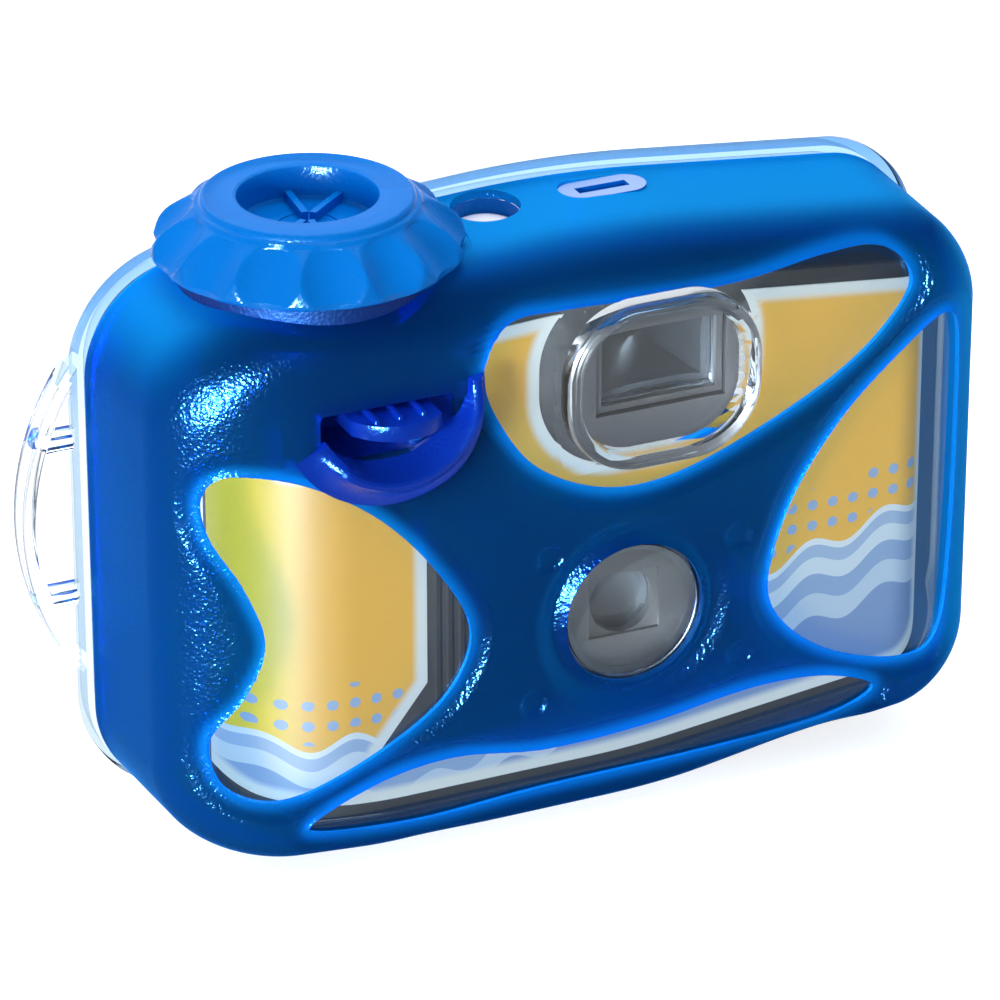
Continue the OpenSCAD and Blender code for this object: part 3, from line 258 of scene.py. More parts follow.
def tidy_normals(obj):
    bm = bmesh.new()
    bm.from_mesh(obj.data)
    bmesh.ops.remove_doubles(bm, verts=bm.verts, dist=1e-7)
    bmesh.ops.recalc_face_normals(bm, faces=bm.faces)
    bm.to_mesh(obj.data)
    bm.free()


def skin_over(rings, closed=False):
    """Quads between rings of equal length; closed joins the last ring to the first."""
    n = len(rings[0])
    faces = []
    last = len(rings) if closed else len(rings) - 1
    for k in range(last):
        a, b = k * n, ((k + 1) % len(rings)) * n
        for i in range(n):
            j = (i + 1) % n
            faces.append((a + i, b + i, b + j, a + j))
    return np.vstack(rings), faces


def tube_solid(name, rings):
    """Closed ring-shaped solid through closed rings."""
    verts, faces = skin_over(rings, closed=True)
    obj = new_piece(name, verts, faces)
    tidy_normals(obj)
    return obj


def capped_solid(name, rings):
    """Solid through rings, closed by a flat face at each end."""
    verts, faces = skin_over(rings)
    n = len(rings[0])
    faces.append(tuple(range(n)))
    faces.append(tuple(len(verts) - n + i for i in range(n)))
    obj = new_piece(name, verts, faces)
    tidy_normals(obj)
    return obj


def at_depth(outline, y):
    """Points of an outline (x, z) at a depth."""
    return np.column_stack([outline[:, 0], np.full(len(outline), y), outline[:, 1]])


def at_height(outline, z):
    """Points of an outline (x, y) at a height."""
    return np.column_stack([outline, np.full(len(outline), z)])


def prism_y(name, outline, y0, y1):
    return capped_solid(name, [at_depth(outline, y) for y in (y0, y1)])


def prism_z(name, outline, z0, z1):
    return capped_solid(name, [at_height(outline, z) for z in (z0, z1)])


def circle(cx, cz, r, n=96):
    a = np.linspace(0, 2 * math.pi, n, endpoint=False)
    return np.column_stack([cx + r * np.cos(a), cz + r * np.sin(a)])


def rod_z(name, cx, cy, z0, z1, r, n=96):
    return prism_z(name, circle(cx, cy, r, n), z0, z1)


def box_solid(name, x0, y0, z0, x1, y1, z1):
    return prism_z(name, np.array([(x0, y0), (x1, y0), (x1, y1), (x0, y1)], float), z0, z1)


def block_between(name, y0, y1):
    """Block larger than the case between two depths."""
    return box_solid(name, -100, y0, 0, 100, y1, 120)


def apply_modifiers(obj):
    """Makes what an object's modifiers give its plain mesh."""
    graph = bpy.context.evaluated_depsgraph_get()
    mesh = bpy.data.meshes.new_from_object(obj.evaluated_get(graph))
    obj.modifiers.clear()
    old, obj.data = obj.data, mesh
    bpy.data.meshes.remove(old)


def combine(obj, operation, others):
    """Adds or cuts other solids, and removes them."""
    for other in others:
        modifier = obj.modifiers.new("combine", "BOOLEAN")
        modifier.operation = operation
        modifier.solver = "MANIFOLD"
        modifier.object = other
        apply_modifiers(obj)
        bpy.data.objects.remove(other)
    return obj


def shade(obj, angle=30):
    """Smooth shading with sharp edges above an angle."""
    obj.data.polygons.foreach_set("use_smooth", [True] * len(obj.data.polygons))
    obj.data.set_sharp_from_angle(angle=math.radians(angle))


def mark_points(obj, name, values):
    """Keeps a value at each point of a mesh, for its material to read."""
    obj.data.attributes.new(name, "FLOAT", "POINT").data.foreach_set("value", values.astype(np.float32))


def finish_piece(obj, material, body, slot, *nodes, angle=30):
    obj.data.materials.clear()
    obj.data.materials.append(material)
    shade(obj, angle)
    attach(obj, body)
    if nodes:
        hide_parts(*nodes)
    return obj


def smooth_copy(node, material, body, slot, bevel=0.0, angle=30, trim=None):
    """A node's own shape with merged points, rounded edges and smooth shading."""
    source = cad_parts[node]
    mesh = source.data.copy()
    bm = bmesh.new()
    bm.from_mesh(mesh)
    bmesh.ops.remove_doubles(bm, verts=bm.verts, dist=2e-6)
    bmesh.ops.dissolve_limit(bm, angle_limit=math.radians(0.5), verts=bm.verts, edges=bm.edges)
    bm.to_mesh(mesh)
    bm.free()
    obj = bpy.data.objects.new(node + "_finished", mesh)
    bpy.context.scene.collection.objects.link(obj)
    if trim:
        combine(obj, "INTERSECT", [trim])
    if bevel:
        modifier = obj.modifiers.new("edge", "BEVEL")
        modifier.width = bevel * MM
        modifier.segments = 2
        modifier.limit_method = "ANGLE"
        modifier.angle_limit = math.radians(40)
        apply_modifiers(obj)
    return finish_piece(obj, material, body, slot, node, angle=angle)


# Materials

def linear(hex_colour, alpha=1.0):
    values = [int(hex_colour[i:i + 2], 16) / 255 for i in (1, 3, 5)]
    return tuple(v / 12.92 if v <= 0.04045 else ((v + 0.055) / 1.055) ** 2.4 for v in values) + (alpha,)


def add(tree, kind, links=None, values=None, **settings):
    """Adds a node with its settings, its set inputs and its links from other nodes' outputs."""
    made = tree.nodes.new(kind)
    for key, value in settings.items():
        setattr(made, key, value)
    for key, value in (values or {}).items():
        made.inputs[key].default_value = value
    for key, output in (links or {}).items():
        tree.links.new(output, made.inputs[key])
    return made


def start_material(name):
    material = bpy.data.materials.new(name)
    material.use_nodes = True
    tree = material.node_tree
    tree.nodes.clear()
    return material, tree


def pearl_fleck(tree, strength, depth):
    """Bump of a pearl fleck of about 0.2 mm, drawn at 0.5 mm so that it shows."""
    drawn_mm = 0.5
    coords = add(tree, "ShaderNodeTexCoord")
    fleck = add(tree, "ShaderNodeTexNoise", {"Vector": coords.outputs["Object"]},
                {"Scale": 1000.0 / drawn_mm, "Detail": 1.0})
    return add(tree, "ShaderNodeBump", {"Height": fleck.outputs["Fac"]}, {"Strength": strength, "Distance": depth})


def let_light_through(tree, surface, tint):
    """Ends a clear material: shadow and diffuse rays go straight through it to what it covers."""
    rays = add(tree, "ShaderNodeLightPath")
    open_ray = add(tree, "ShaderNodeMath", {0: rays.outputs["Is Shadow Ray"], 1: rays.outputs["Is Diffuse Ray"]},
                   operation="MAXIMUM")
    through = add(tree, "ShaderNodeBsdfTransparent", values={"Color": linear(tint)})
    mixed = add(tree, "ShaderNodeMixShader", {0: open_ray.outputs[0], 1: surface.outputs[0], 2: through.outputs[0]})
    add(tree, "ShaderNodeOutputMaterial", {"Surface": mixed.outputs[0]})


def clear_polycarbonate(name, ior):
    # Moulded polycarbonate, polished: water-clear, with a faint cool tint in thick edges.
    material, tree = start_material(name)
    glass = add(tree, "ShaderNodeBsdfPrincipled", values={
        "Base Color": linear("#EEF5FA"), "Roughness": 0.02, "IOR": ior, "Transmission Weight": 1.0})
    let_light_through(tree, glass, "#F2F7FB")
    return material


def clear_thin_wall():
    # The same polycarbonate in an even thin wall: light goes straight through, with a mirror sheen that grows towards
    # its edges.
    material, tree = start_material("clear_polycarbonate_wall")
    through = add(tree, "ShaderNodeBsdfTransparent", values={"Color": linear("#F4F9FC")})
    gloss = add(tree, "ShaderNodeBsdfGlossy", values={"Color": linear("#E8F2FA"), "Roughness": 0.04})
    sheen = add(tree, "ShaderNodeFresnel", values={"IOR": 1.5})
    side = add(tree, "ShaderNodeNewGeometry")
    outer = add(tree, "ShaderNodeMath", {1: side.outputs["Backfacing"]}, {0: 1.0}, operation="SUBTRACT")
    share = add(tree, "ShaderNodeMath", {0: sheen.outputs[0], 1: outer.outputs[0]}, operation="MULTIPLY")
    mixed = add(tree, "ShaderNodeMixShader", {0: share.outputs[0], 1: through.outputs[0], 2: gloss.outputs[0]})
    add(tree, "ShaderNodeOutputMaterial", {"Surface": mixed.outputs[0]})
    return material


def rim_with_painted_glow():
    # Clear flange that lies along the blue skin, with the skin's colour painted into it as painted glow, most at the
    # top where the light comes from behind.
    material, tree = start_material("clear_polycarbonate_rim")
    coords = add(tree, "ShaderNodeTexCoord")
    place = add(tree, "ShaderNodeSeparateXYZ", {0: coords.outputs["Object"]})
    high = add(tree, "ShaderNodeMapRange", {"Value": place.outputs["Z"]}, {"From Min": 0.055, "From Max": 0.075})
    tint = add(tree, "ShaderNodeMix", {"Factor": high.outputs[0]}, {"A": linear("#DCE6EE"), "B": linear("#A8CCEC")},
               data_type="RGBA")
    through = add(tree, "ShaderNodeBsdfTransparent", {"Color": tint.outputs["Result"]})
    gloss = add(tree, "ShaderNodeBsdfGlossy", values={"Color": linear("#E8F2FA"), "Roughness": 0.06})
    sheen = add(tree, "ShaderNodeFresnel", values={"IOR": 1.3})
    mixed = add(tree, "ShaderNodeMixShader", {0: sheen.outputs[0], 1: through.outputs[0], 2: gloss.outputs[0]})
    add(tree, "ShaderNodeOutputMaterial", {"Surface": mixed.outputs[0]})
    return material


def frosted_blue_skin():
    # Translucent blue elastomer over the clear shell, with a satin gloss and a fine pearl fleck. Its colour holds
    # painted
    # light: navy painted shade on the front, where dark pieces lie behind it, and cyan painted glow along the window
    # beads, on the top and at the right end, where light comes through.
    material, tree = start_material("frosted_blue_skin")
    grain = pearl_fleck(tree, 0.5, 0.0003)
    edge = add(tree, "ShaderNodeAttribute", attribute_name="bead")
    # Painted glow: the refraction colour turns a light cyan along the window beads.
    tint = add(tree, "ShaderNodeMix", {"Factor": edge.outputs["Fac"]},
               {"A": linear("#0858B0"), "B": linear("#30C4FF")}, data_type="RGBA")
    free = add(tree, "ShaderNodeAttribute", attribute_name="open")
    # Painted light and shade: the diffuse colour is navy on the front, lighter along the window beads, and cyan where
    # the open mark is high, on the top and at the right end.
    near = add(tree, "ShaderNodeMix", {"Factor": edge.outputs["Fac"]},
               {"A": linear("#02124A"), "B": linear("#0884E8")}, data_type="RGBA")
    colour_with_painted_glow = add(tree, "ShaderNodeMix", {"Factor": free.outputs["Fac"], "A": near.outputs["Result"]},
                  {"B": linear("#0A8CDC")}, data_type="RGBA")
    body = add(tree, "ShaderNodeBsdfDiffuse", {"Color": colour_with_painted_glow.outputs["Result"]})
    glow = add(tree, "ShaderNodeBsdfTranslucent", values={"Color": linear("#10BCFF")})
    see = add(tree, "ShaderNodeBsdfRefraction", {"Color": tint.outputs["Result"]}, {"Roughness": 0.18, "IOR": 1.06})
    lit = add(tree, "ShaderNodeMixShader", {1: body.outputs[0], 2: glow.outputs[0]}, {0: 0.15})
    clearness = add(tree, "ShaderNodeMapRange", {"Value": free.outputs["Fac"]}, {"To Min": 0.55, "To Max": 0.25})
    spread = add(tree, "ShaderNodeMixShader", {0: clearness.outputs[0], 1: lit.outputs[0], 2: see.outputs[0]})
    gloss = add(tree, "ShaderNodeBsdfGlossy", {"Normal": grain.outputs[0]},
                {"Color": linear("#4AA0F4"), "Roughness": 0.2})
    rim = add(tree, "ShaderNodeFresnel", values={"IOR": 1.37})
    coated = add(tree, "ShaderNodeMixShader", {0: rim.outputs[0], 1: spread.outputs[0], 2: gloss.outputs[0]})
    let_light_through(tree, coated, "#E2F1FD")
    return material


def solid_blue(name, colour, roughness):
    # The same blue in a thicker moulding: nearly opaque and deep. It also stands as painted shade on the clear neck
    # under the knob.
    material, tree = start_material(name)
    grain = pearl_fleck(tree, 0.4, 0.0002)
    shader = add(tree, "ShaderNodeBsdfPrincipled", {"Normal": grain.outputs[0]}, {
        "Base Color": linear(colour), "Roughness": roughness, "IOR": 1.45, "Specular Tint": linear("#4A90F0")})
    add(tree, "ShaderNodeOutputMaterial", {"Surface": shader.outputs[0]})
    return material


def pearl_blue_knob():
    # Opaque blue moulding with pearl pigment: glossy, with sparkle where the light grazes.
    material, tree = start_material("pearl_blue_knob")
    grain = pearl_fleck(tree, 0.25, 0.0003)
    shader = add(tree, "ShaderNodeBsdfPrincipled", {"Normal": grain.outputs[0]}, {
        "Base Color": linear("#006AC4"), "Roughness": 0.22, "IOR": 1.5, "Specular IOR Level": 0.3,
        "Specular Tint": linear("#8CD0FF")})
    add(tree, "ShaderNodeOutputMaterial", {"Surface": shader.outputs[0]})
    return material


def plain(name, colour, roughness, metallic=0.0, ior=1.5, grain_mm=0.4, grain_depth=0.00002):
    """Moulded or pressed surface with a fine grain."""
    material, tree = start_material(name)
    coords = add(tree, "ShaderNodeTexCoord")
    noise = add(tree, "ShaderNodeTexNoise", {"Vector": coords.outputs["Object"]},
                {"Scale": 1000.0 / grain_mm, "Detail": 2.0})
    bump = add(tree, "ShaderNodeBump", {"Height": noise.outputs["Fac"]}, {"Strength": 0.15, "Distance": grain_depth})
    shader = add(tree, "ShaderNodeBsdfPrincipled", {"Normal": bump.outputs[0]}, {
        "Base Color": linear(colour), "Roughness": roughness, "Metallic": metallic, "IOR": ior})
    add(tree, "ShaderNodeOutputMaterial", {"Surface": shader.outputs[0]})
    return material


def printed_label():
    # Gloss-laminated paper: an amber ground, painted a lighter yellow at its left end as painted light where it bends
    # round the cassette towards the lamp, pale blue wave bands with rows of dots over them, a soft white border along
    # every cut edge, and near-black painted shade where the blue skin covers it.
    material, tree = start_material("printed_label")
    coords = add(tree, "ShaderNodeTexCoord")
    mm = add(tree, "ShaderNodeVectorMath", {0: coords.outputs["Object"]}, {1: (1000, 1000, 1000)},
             operation="MULTIPLY")
    axes = add(tree, "ShaderNodeSeparateXYZ", {0: mm.outputs[0]})
    x, z = axes.outputs["X"], axes.outputs["Z"]
    # Painted light: the ground turns a lighter yellow on the left end, where the label bends round the cassette
    # towards the lamp.
    warm = add(tree, "ShaderNodeMapRange", {"Value": x}, {"From Min": -41.5, "From Max": -35.0},
               interpolation_type="SMOOTHSTEP")
    ground = add(tree, "ShaderNodeMix", {"Factor": warm.outputs[0]}, {"A": linear("#FFDA1E"), "B": linear("#FFBE40")},
                 data_type="RGBA")
    # Bands follow a wave 11 mm long and 1.2 mm high that climbs towards the right.
    climb = add(tree, "ShaderNodeMapRange", {"Value": x},
                {"From Min": -20.0, "From Max": 54.0, "To Min": 8.0, "To Max": 27.0})
    turn = add(tree, "ShaderNodeMath", {0: x}, {1: 2 * math.pi / 11.0}, operation="MULTIPLY")
    wave = add(tree, "ShaderNodeMath", {0: turn.outputs[0]}, operation="SINE")
    swing = add(tree, "ShaderNodeMath", {0: wave.outputs[0], 2: climb.outputs[0]}, {1: 1.2}, operation="MULTIPLY_ADD")
    above = add(tree, "ShaderNodeMath", {0: z, 1: swing.outputs[0]}, operation="SUBTRACT")
    step = add(tree, "ShaderNodeMapRange", {"Value": above.outputs[0]}, {"From Min": -8.0, "From Max": 16.0})
    bands = add(tree, "ShaderNodeValToRGB", {"Fac": step.outputs[0]})
    bands.color_ramp.interpolation = "CONSTANT"
    stops = [(0.0, "#7F9CCB", 1), (0.16, "#C5D6EA", 1), (0.3, "#94B0D8", 1), (0.42, "#DCE7F2", 1),
             (0.52, "#A9C1E2", 1), (0.6, "#EDF2F6", 1), (0.64, "#F5A623", 0)]
    for k, (place, colour, cover) in enumerate(stops):
        stop = bands.color_ramp.elements[k] if k < 2 else bands.color_ramp.elements.new(place)
        stop.position, stop.color = place, linear(colour, cover)
    printed = add(tree, "ShaderNodeMix", {"Factor": bands.outputs["Alpha"], "A": ground.outputs["Result"],
                                          "B": bands.outputs["Color"]}, data_type="RGBA")
    # Dots 1.5 mm wide on a 3 mm grid, in the strip just over the bands.
    level = add(tree, "ShaderNodeVectorMath", {0: mm.outputs[0]}, {1: (1, 0, 1)}, operation="MULTIPLY")
    spots = add(tree, "ShaderNodeTexVoronoi", {"Vector": level.outputs[0]}, {"Scale": 1 / 3.0, "Randomness": 0.0},
                voronoi_dimensions="3D", feature="F1")
    round_spot = add(tree, "ShaderNodeMath", {0: spots.outputs["Distance"]}, {1: 0.25}, operation="LESS_THAN")
    low = add(tree, "ShaderNodeMath", {0: step.outputs[0]}, {1: 0.68}, operation="GREATER_THAN")
    high = add(tree, "ShaderNodeMath", {0: step.outputs[0]}, {1: 0.95}, operation="LESS_THAN")
    strip = add(tree, "ShaderNodeMath", {0: low.outputs[0], 1: high.outputs[0]}, operation="MULTIPLY")
    dots = add(tree, "ShaderNodeMath", {0: strip.outputs[0], 1: round_spot.outputs[0]}, operation="MULTIPLY")
    dotted = add(tree, "ShaderNodeMix", {"Factor": dots.outputs[0], "A": printed.outputs["Result"]},
                 {"B": linear("#9DB6DC")}, data_type="RGBA")
    edge = add(tree, "ShaderNodeAttribute", attribute_name="edge")
    border = add(tree, "ShaderNodeMapRange", {"Value": edge.outputs["Fac"]}, {"From Min": 2.4, "From Max": 1.0},
                 interpolation_type="SMOOTHSTEP")
    framed = add(tree, "ShaderNodeMix", {"Factor": border.outputs[0], "A": dotted.outputs["Result"]},
                 {"B": linear("#F3F2EC")}, data_type="RGBA")
    # Painted shade: the sheet is near black wherever the blue skin covers it, away from the windows.
    shown = add(tree, "ShaderNodeAttribute", attribute_name="shown")
    sheet = add(tree, "ShaderNodeMix", {"Factor": shown.outputs["Fac"], "B": framed.outputs["Result"]},
                {"A": linear("#08090C")}, data_type="RGBA")
    shader = add(tree, "ShaderNodeBsdfPrincipled", {"Base Color": sheet.outputs["Result"]},
                 {"Roughness": 0.35, "IOR": 1.5})
    add(tree, "ShaderNodeOutputMaterial", {"Surface": shader.outputs[0]})
    return material


CLEAR = clear_polycarbonate("clear_polycarbonate", 1.35)
LOOP = clear_polycarbonate("clear_polycarbonate_loop", 1.5)
WALL = clear_thin_wall()
RIM = rim_with_painted_glow()
BLUE = frosted_blue_skin()
PEARL = pearl_blue_knob()
DEEP = solid_blue("deep_blue_moulding", "#062C9C", 0.22)
GUARD = solid_blue("frosted_blue_guard", "#12489A", 0.42)
# Painted shade: dark navy put on the clear neck under the knob.
NECK = solid_blue("neck_painted_shade", "#04185A", 0.45)
LABEL = printed_label()
# Moulded ABS, rubber, acrylic and silicone, all a little dull with a fine grain, apart from the polished magnifier,
# whose pale colour is a painted reflection of the white around it.
BLACK = plain("black_abs", "#141416", 0.45)
GREY = plain("grey_abs", "#191A1C", 0.4)
WHITE = plain("white_abs", "#E6E5E0", 0.4)
RUBBER = plain("seal_rubber", "#1A1A1C", 0.6)
LATCH = plain("frosted_latch_pad", "#7C98CC", 0.4)
MAGNIFIER = plain("magnifier_painted_reflection", "#D9DAE2", 0.12)
SILICONE = plain("pale_silicone", "#BFD3E6", 0.4)
# Bright drawn steel, dark lacquered steel and the smooth brown base of the film.
STEEL = plain("spring_steel", "#C8CACD", 0.25, metallic=1.0, grain_mm=0.2)
LACQUER = plain("lacquered_steel", "#34363A", 0.35)
FILM = plain("film_base", "#5A3A26", 0.3)


# Case

SPACING = 0.7
COUNTS = step_counts(CASE, SPACING)
CENTRE = np.array([1.0, 38.0])


def ring(e, draw, d, y):
    outline = trace(draw_in(draw_in(CASE, EVEN, e), draw, d), COUNTS)
    if draw is FRONT_DRAW:
        swollen = trace(draw_in(draw_in(CASE, EVEN, e), KNOB_DRAW, d), COUNTS)
        share = 1 - smooth_step(0.5 * SEAT_R, 1.3 * SEAT_R, np.abs(outline[:, 0] - AXIS_X))
        outline = outline + (swollen - outline) * (share * (outline[:, 1] > SEAT_Z / 2))[:, None]
    return at_depth(outline, y)


def front_rings(e, side, fillet, face):
    """Rings from the seam round the front edge and in towards the middle of the face."""
    knee = FRONT_Y + FRONT_ROUND + e
    rings = [ring(e, FRONT_DRAW, DRAFT * k / side, knee * k / side) for k in range(side + 1)]
    for k in range(1, fillet + 1):
        a = math.pi / 2 * k / fillet
        rings.append(ring(e, FRONT_DRAW, DRAFT + FRONT_INSET * (1 - math.cos(a)), knee - FRONT_ROUND * math.sin(a)))
    return rings + face_rings(rings[-1], face)


def face_rings(edge, face):
    centre = np.array([CENTRE[0], edge[0, 1], CENTRE[1]])
    return [centre + (edge - centre) * (1 - k / face) for k in range(1, face)]


def rear_rings(e, side, fillet, face):
    knee = REAR_DEPTH - e - REAR_ROUND
    rings = [ring(e, REAR_DRAW, 0, knee * k / side) for k in range(side + 1)]
    for k in range(1, fillet + 1):
        a = math.pi / 2 * k / fillet
        rings.append(ring(e, REAR_DRAW, REAR_INSET * (1 - math.cos(a)), knee + REAR_ROUND * math.sin(a)))
    return rings + face_rings(rings[-1], face)


def shell(name, outer, inner):
    """Closed thin shell between an outer and an inner stack of rings, each ending near the middle of its face."""
    n = len(outer[0])
    verts, faces = skin_over(outer)
    inner_verts, inner_faces = skin_over(inner)
    offset = len(verts)
    faces += [tuple(offset + i for i in f) for f in inner_faces]
    faces.append(tuple(len(verts) - n + i for i in range(n)))
    faces.append(tuple(offset + len(inner_verts) - n + i for i in range(n)))
    faces += [(i, (i + 1) % n, offset + (i + 1) % n, offset + i) for i in range(n)]
    obj = new_piece(name, np.vstack([verts, inner_verts]), faces)
    tidy_normals(obj)
    return obj


def ring_normals(rings):
    grid = np.array(rings)
    along = np.roll(grid, -1, 1) - np.roll(grid, 1, 1)
    across = np.empty_like(grid)
    across[1:-1] = grid[2:] - grid[:-2]
    across[0], across[-1] = grid[1] - grid[0], grid[-1] - grid[-2]
    normals = np.cross(across, along)
    lengths = np.linalg.norm(normals, axis=2, keepdims=True)
    return normals / np.maximum(lengths, 1e-9)


def face_relief(points):
    """Height of the beads, the lens ring and the small bosses over the skin at points (x, z)."""
    gap = np.maximum(window_distance(points), 0)
    t = np.clip(gap / BEAD_W, 0, 1)
    rise = BEAD_LIP + BEAD_RISE * np.sin(t / BEAD_CREST * math.pi / 2)
    fall = np.cos((t - BEAD_CREST) / (1 - BEAD_CREST) * math.pi / 2) ** 1.3
    height = BEAD_H * np.where(t < BEAD_CREST, rise, fall)
    height = np.where(gap < BEAD_W, height, 0)
    r = np.hypot(points[:, 0] - LENS_X, points[:, 1] - LENS_Z)
    crest = PORT_RIM_R - 1.4
    cone = np.where(r > crest, PORT_RIM_H * (1 - smooth_step(crest, PORT_RIM_R + PORT_SKIRT, r)),
                    PORT_RIM_H - 1.1 * (crest - r) / (crest - PORT_R))
    height = np.where((r > PORT_R - 1) & (r < PORT_RIM_R + PORT_SKIRT), np.maximum(height, cone), height)
    for dx, dz in BOSSES:
        b = np.hypot(points[:, 0] - LENS_X - dx, points[:, 1] - LENS_Z - dz)
        height = np.maximum(height, 0.5 * (1 - smooth_step(1.3, 2.1, b)))
    return height


def latch_outline(d):
    return rounded_box(LATCH_X - LATCH_W / 2 - d, LATCH_Y - LATCH_D / 2 - d, LATCH_X + LATCH_W / 2 + d,
                       LATCH_Y + LATCH_D / 2 + d, LATCH_D / 2 + d - 0.01, 0.4)


def collar_corners(d):
    """Corners of the collar round the finder, moved outwards by d."""
    return box_corners(COLLAR_X - COLLAR_W / 2 - d, FINDER_Z - COLLAR_H / 2 - d,
                       COLLAR_X + COLLAR_W / 2 + d, FINDER_Z + COLLAR_H / 2 + d, COLLAR_ROUND + d)


def collar_outline(d):
    return trace(collar_corners(d), step_counts(collar_corners(d), 0.6))


def knob_room():
    """Room that the knob turns in."""
    return rod_z("cut", AXIS_X, AXIS_Y, SEAT_Z, SEAT_Z + 10, KNOB_R + 0.6, 200)


def lever_guard():
    """Cupped wall under the lever: flared outside, rounded at its front edge, thin at its ends."""
    start, end = math.radians(208), math.radians(362)
    section = [(15.2, 0.6), (15.2, 0.0), (14.2, -0.35), (13.3, -0.95), (12.7, -1.8), (12.3, -2.6), (11.9, -3.05),
               (11.3, -3.2), (10.9, -3.05), (10.5, -2.5), (9.9, -1.6), (9.2, -0.7), (8.6, 0.0), (8.6, 0.6)]
    rings = []
    for t in np.linspace(0, 1, 72):
        a = start + (end - start) * t
        rise = smooth_step(0.0, 0.16, t) * (1 - 0.75 * smooth_step(0.8, 1.0, t))
        flare = 1 - 0.75 * smooth_step(0.6, 1.0, t)
        fill = smooth_step(0.0, 0.4, t) * (1 - smooth_step(0.6, 1.0, t))
        ring_points = []
        for r, y in section:
            if r > GUARD_OUTER:
                r = GUARD_OUTER + (r - GUARD_OUTER) * flare
            elif r < GUARD_INNER:
                r = GUARD_INNER + (r - GUARD_INNER) * fill
            out = y if y > 0 else y * (0.2 + 0.8 * rise)
            ring_points.append((GUARD_X + r * math.cos(a), FRONT_Y + out, GUARD_Z + r * math.sin(a)))
        rings.append(np.array(ring_points))
    return capped_solid("guard", rings)


def make_skin():
    outer = front_rings(0, 12, 30, 110)
    normals = ring_normals(outer)
    flat = np.vstack(outer)[:, [0, 2]]
    relief = face_relief(flat)
    y = np.vstack(outer)[:, 1]
    relief *= 1 - smooth_step(FRONT_Y + 7.0, FRONT_Y + 9.0, y)
    lifted = np.vstack(outer) + np.vstack(list(normals)) * relief[:, None]
    n = len(outer[0])
    lifted_rings = [lifted[k * n:(k + 1) * n] for k in range(len(outer))]
    obj = shell("blue_skin", lifted_rings, front_rings(SKIN_T, 3, 8, 6))
    cuts = [prism_y("cut", w, FRONT_Y - 6, FRONT_Y + 17) for w in WINDOWS]
    cuts.append(prism_y("cut", collar_outline(BOND_GAP), FRONT_Y - 6, FRONT_Y + 8))
    cuts.append(prism_y("cut", circle(LENS_X, LENS_Z, PORT_R, 128), FRONT_Y - 6, FRONT_Y + 4))
    cuts.append(rod_z("cut", AXIS_X, AXIS_Y, SEAT_Z - 12, SEAT_Z + 3, SEAT_R - SKIN_T, 200))
    cuts.append(knob_room())
    cuts.append(prism_y("cut", rounded_box(POCKET_X0, POCKET_Z0, POCKET_X1, POCKET_Z1, 0.6, 0.3),
                        FRONT_Y - 1, FRONT_Y + 4))
    cuts.append(prism_z("cut", latch_outline(BOND_GAP), TOP_PEAK - 6, TOP_PEAK + 2))
    cuts.append(rod_z("cut", COUNTER_X, COUNTER_Y, TOP_PEAK - 8, TOP_PEAK + 2, COUNTER_R))
    combine(obj, "DIFFERENCE", cuts)
    # The guard under the lever is thick, so it shows as a solid blue; the darker blue inside its cup is painted
    # shade.
    guard = lever_guard()
    for face in guard.data.polygons:
        x, z = face.center.x / MM, face.center.z / MM
        face.material_index = 1 if math.hypot(x - GUARD_X, z - GUARD_Z) > GUARD_LIP else 2
    for piece in (obj, guard):
        for material in (BLUE, GUARD, DEEP):
            piece.data.materials.append(material)
    combine(obj, "UNION", [guard])
    kinds = [face.material_index for face in obj.data.polygons]
    points = np.array([v.co for v in obj.data.vertices]) / MM
    gap = window_distance(points[:, [0, 2]])
    # Painted glow along the window beads, fading off within a short way of each edge.
    bead_glow_share = 1 - smooth_step(0.0, 0.7 * BEAD_W, np.abs(gap))
    bead_glow_share *= 1 - smooth_step(FRONT_Y + 6, FRONT_Y + 10, points[:, 1])
    # Share of painted glow, for light that comes in behind the skin where it stands off the dark pieces inside: least
    # on the front, most on the top and at the right end.
    free = smooth_step(FRONT_Y + 3, FRONT_Y + 15, points[:, 1]) * (0.12 + 0.88 * smooth_step(64, 76, points[:, 2]))
    free = np.maximum(free, smooth_step(BODY_RIGHT - 9, BODY_RIGHT - 2, points[:, 0]))
    mark_points(obj, "bead", bead_glow_share)
    mark_points(obj, "open", free)
    finish_piece(obj, BLUE, "case", "blue_skin", "front_skin")
    obj.data.materials.append(GUARD)
    obj.data.materials.append(DEEP)
    obj.data.polygons.foreach_set("material_index", kinds)
    return obj


def capped_cavity(name, e):
    """Solid of everything inside the front half at an inset, open past the seam."""
    rings = front_rings(e, 3, 10, 4)
    back = rings[0].copy()
    back[:, 1] = 2.0
    return capped_solid(name, [back] + rings)


def collar_ring():
    """Thick rounded clear ring round the finder."""
    y_back, y_front = FRONT_Y + 1.6, FRONT_Y - COLLAR_OUT
    steps = [(0.0, y_back), (0.0, y_front + 1.0), (-0.25, y_front + 0.35), (-0.7, y_front + 0.05),
             (-1.2, y_front + 0.05), (-1.7, y_front + 0.4), (-2.0, y_front + 1.0), (-2.2, FRONT_Y + 1.2),
             (-2.2, y_back)]
    counts = step_counts(collar_corners(0), 0.6)
    return tube_solid("collar", [at_depth(trace(collar_corners(d), counts), y) for d, y in steps])


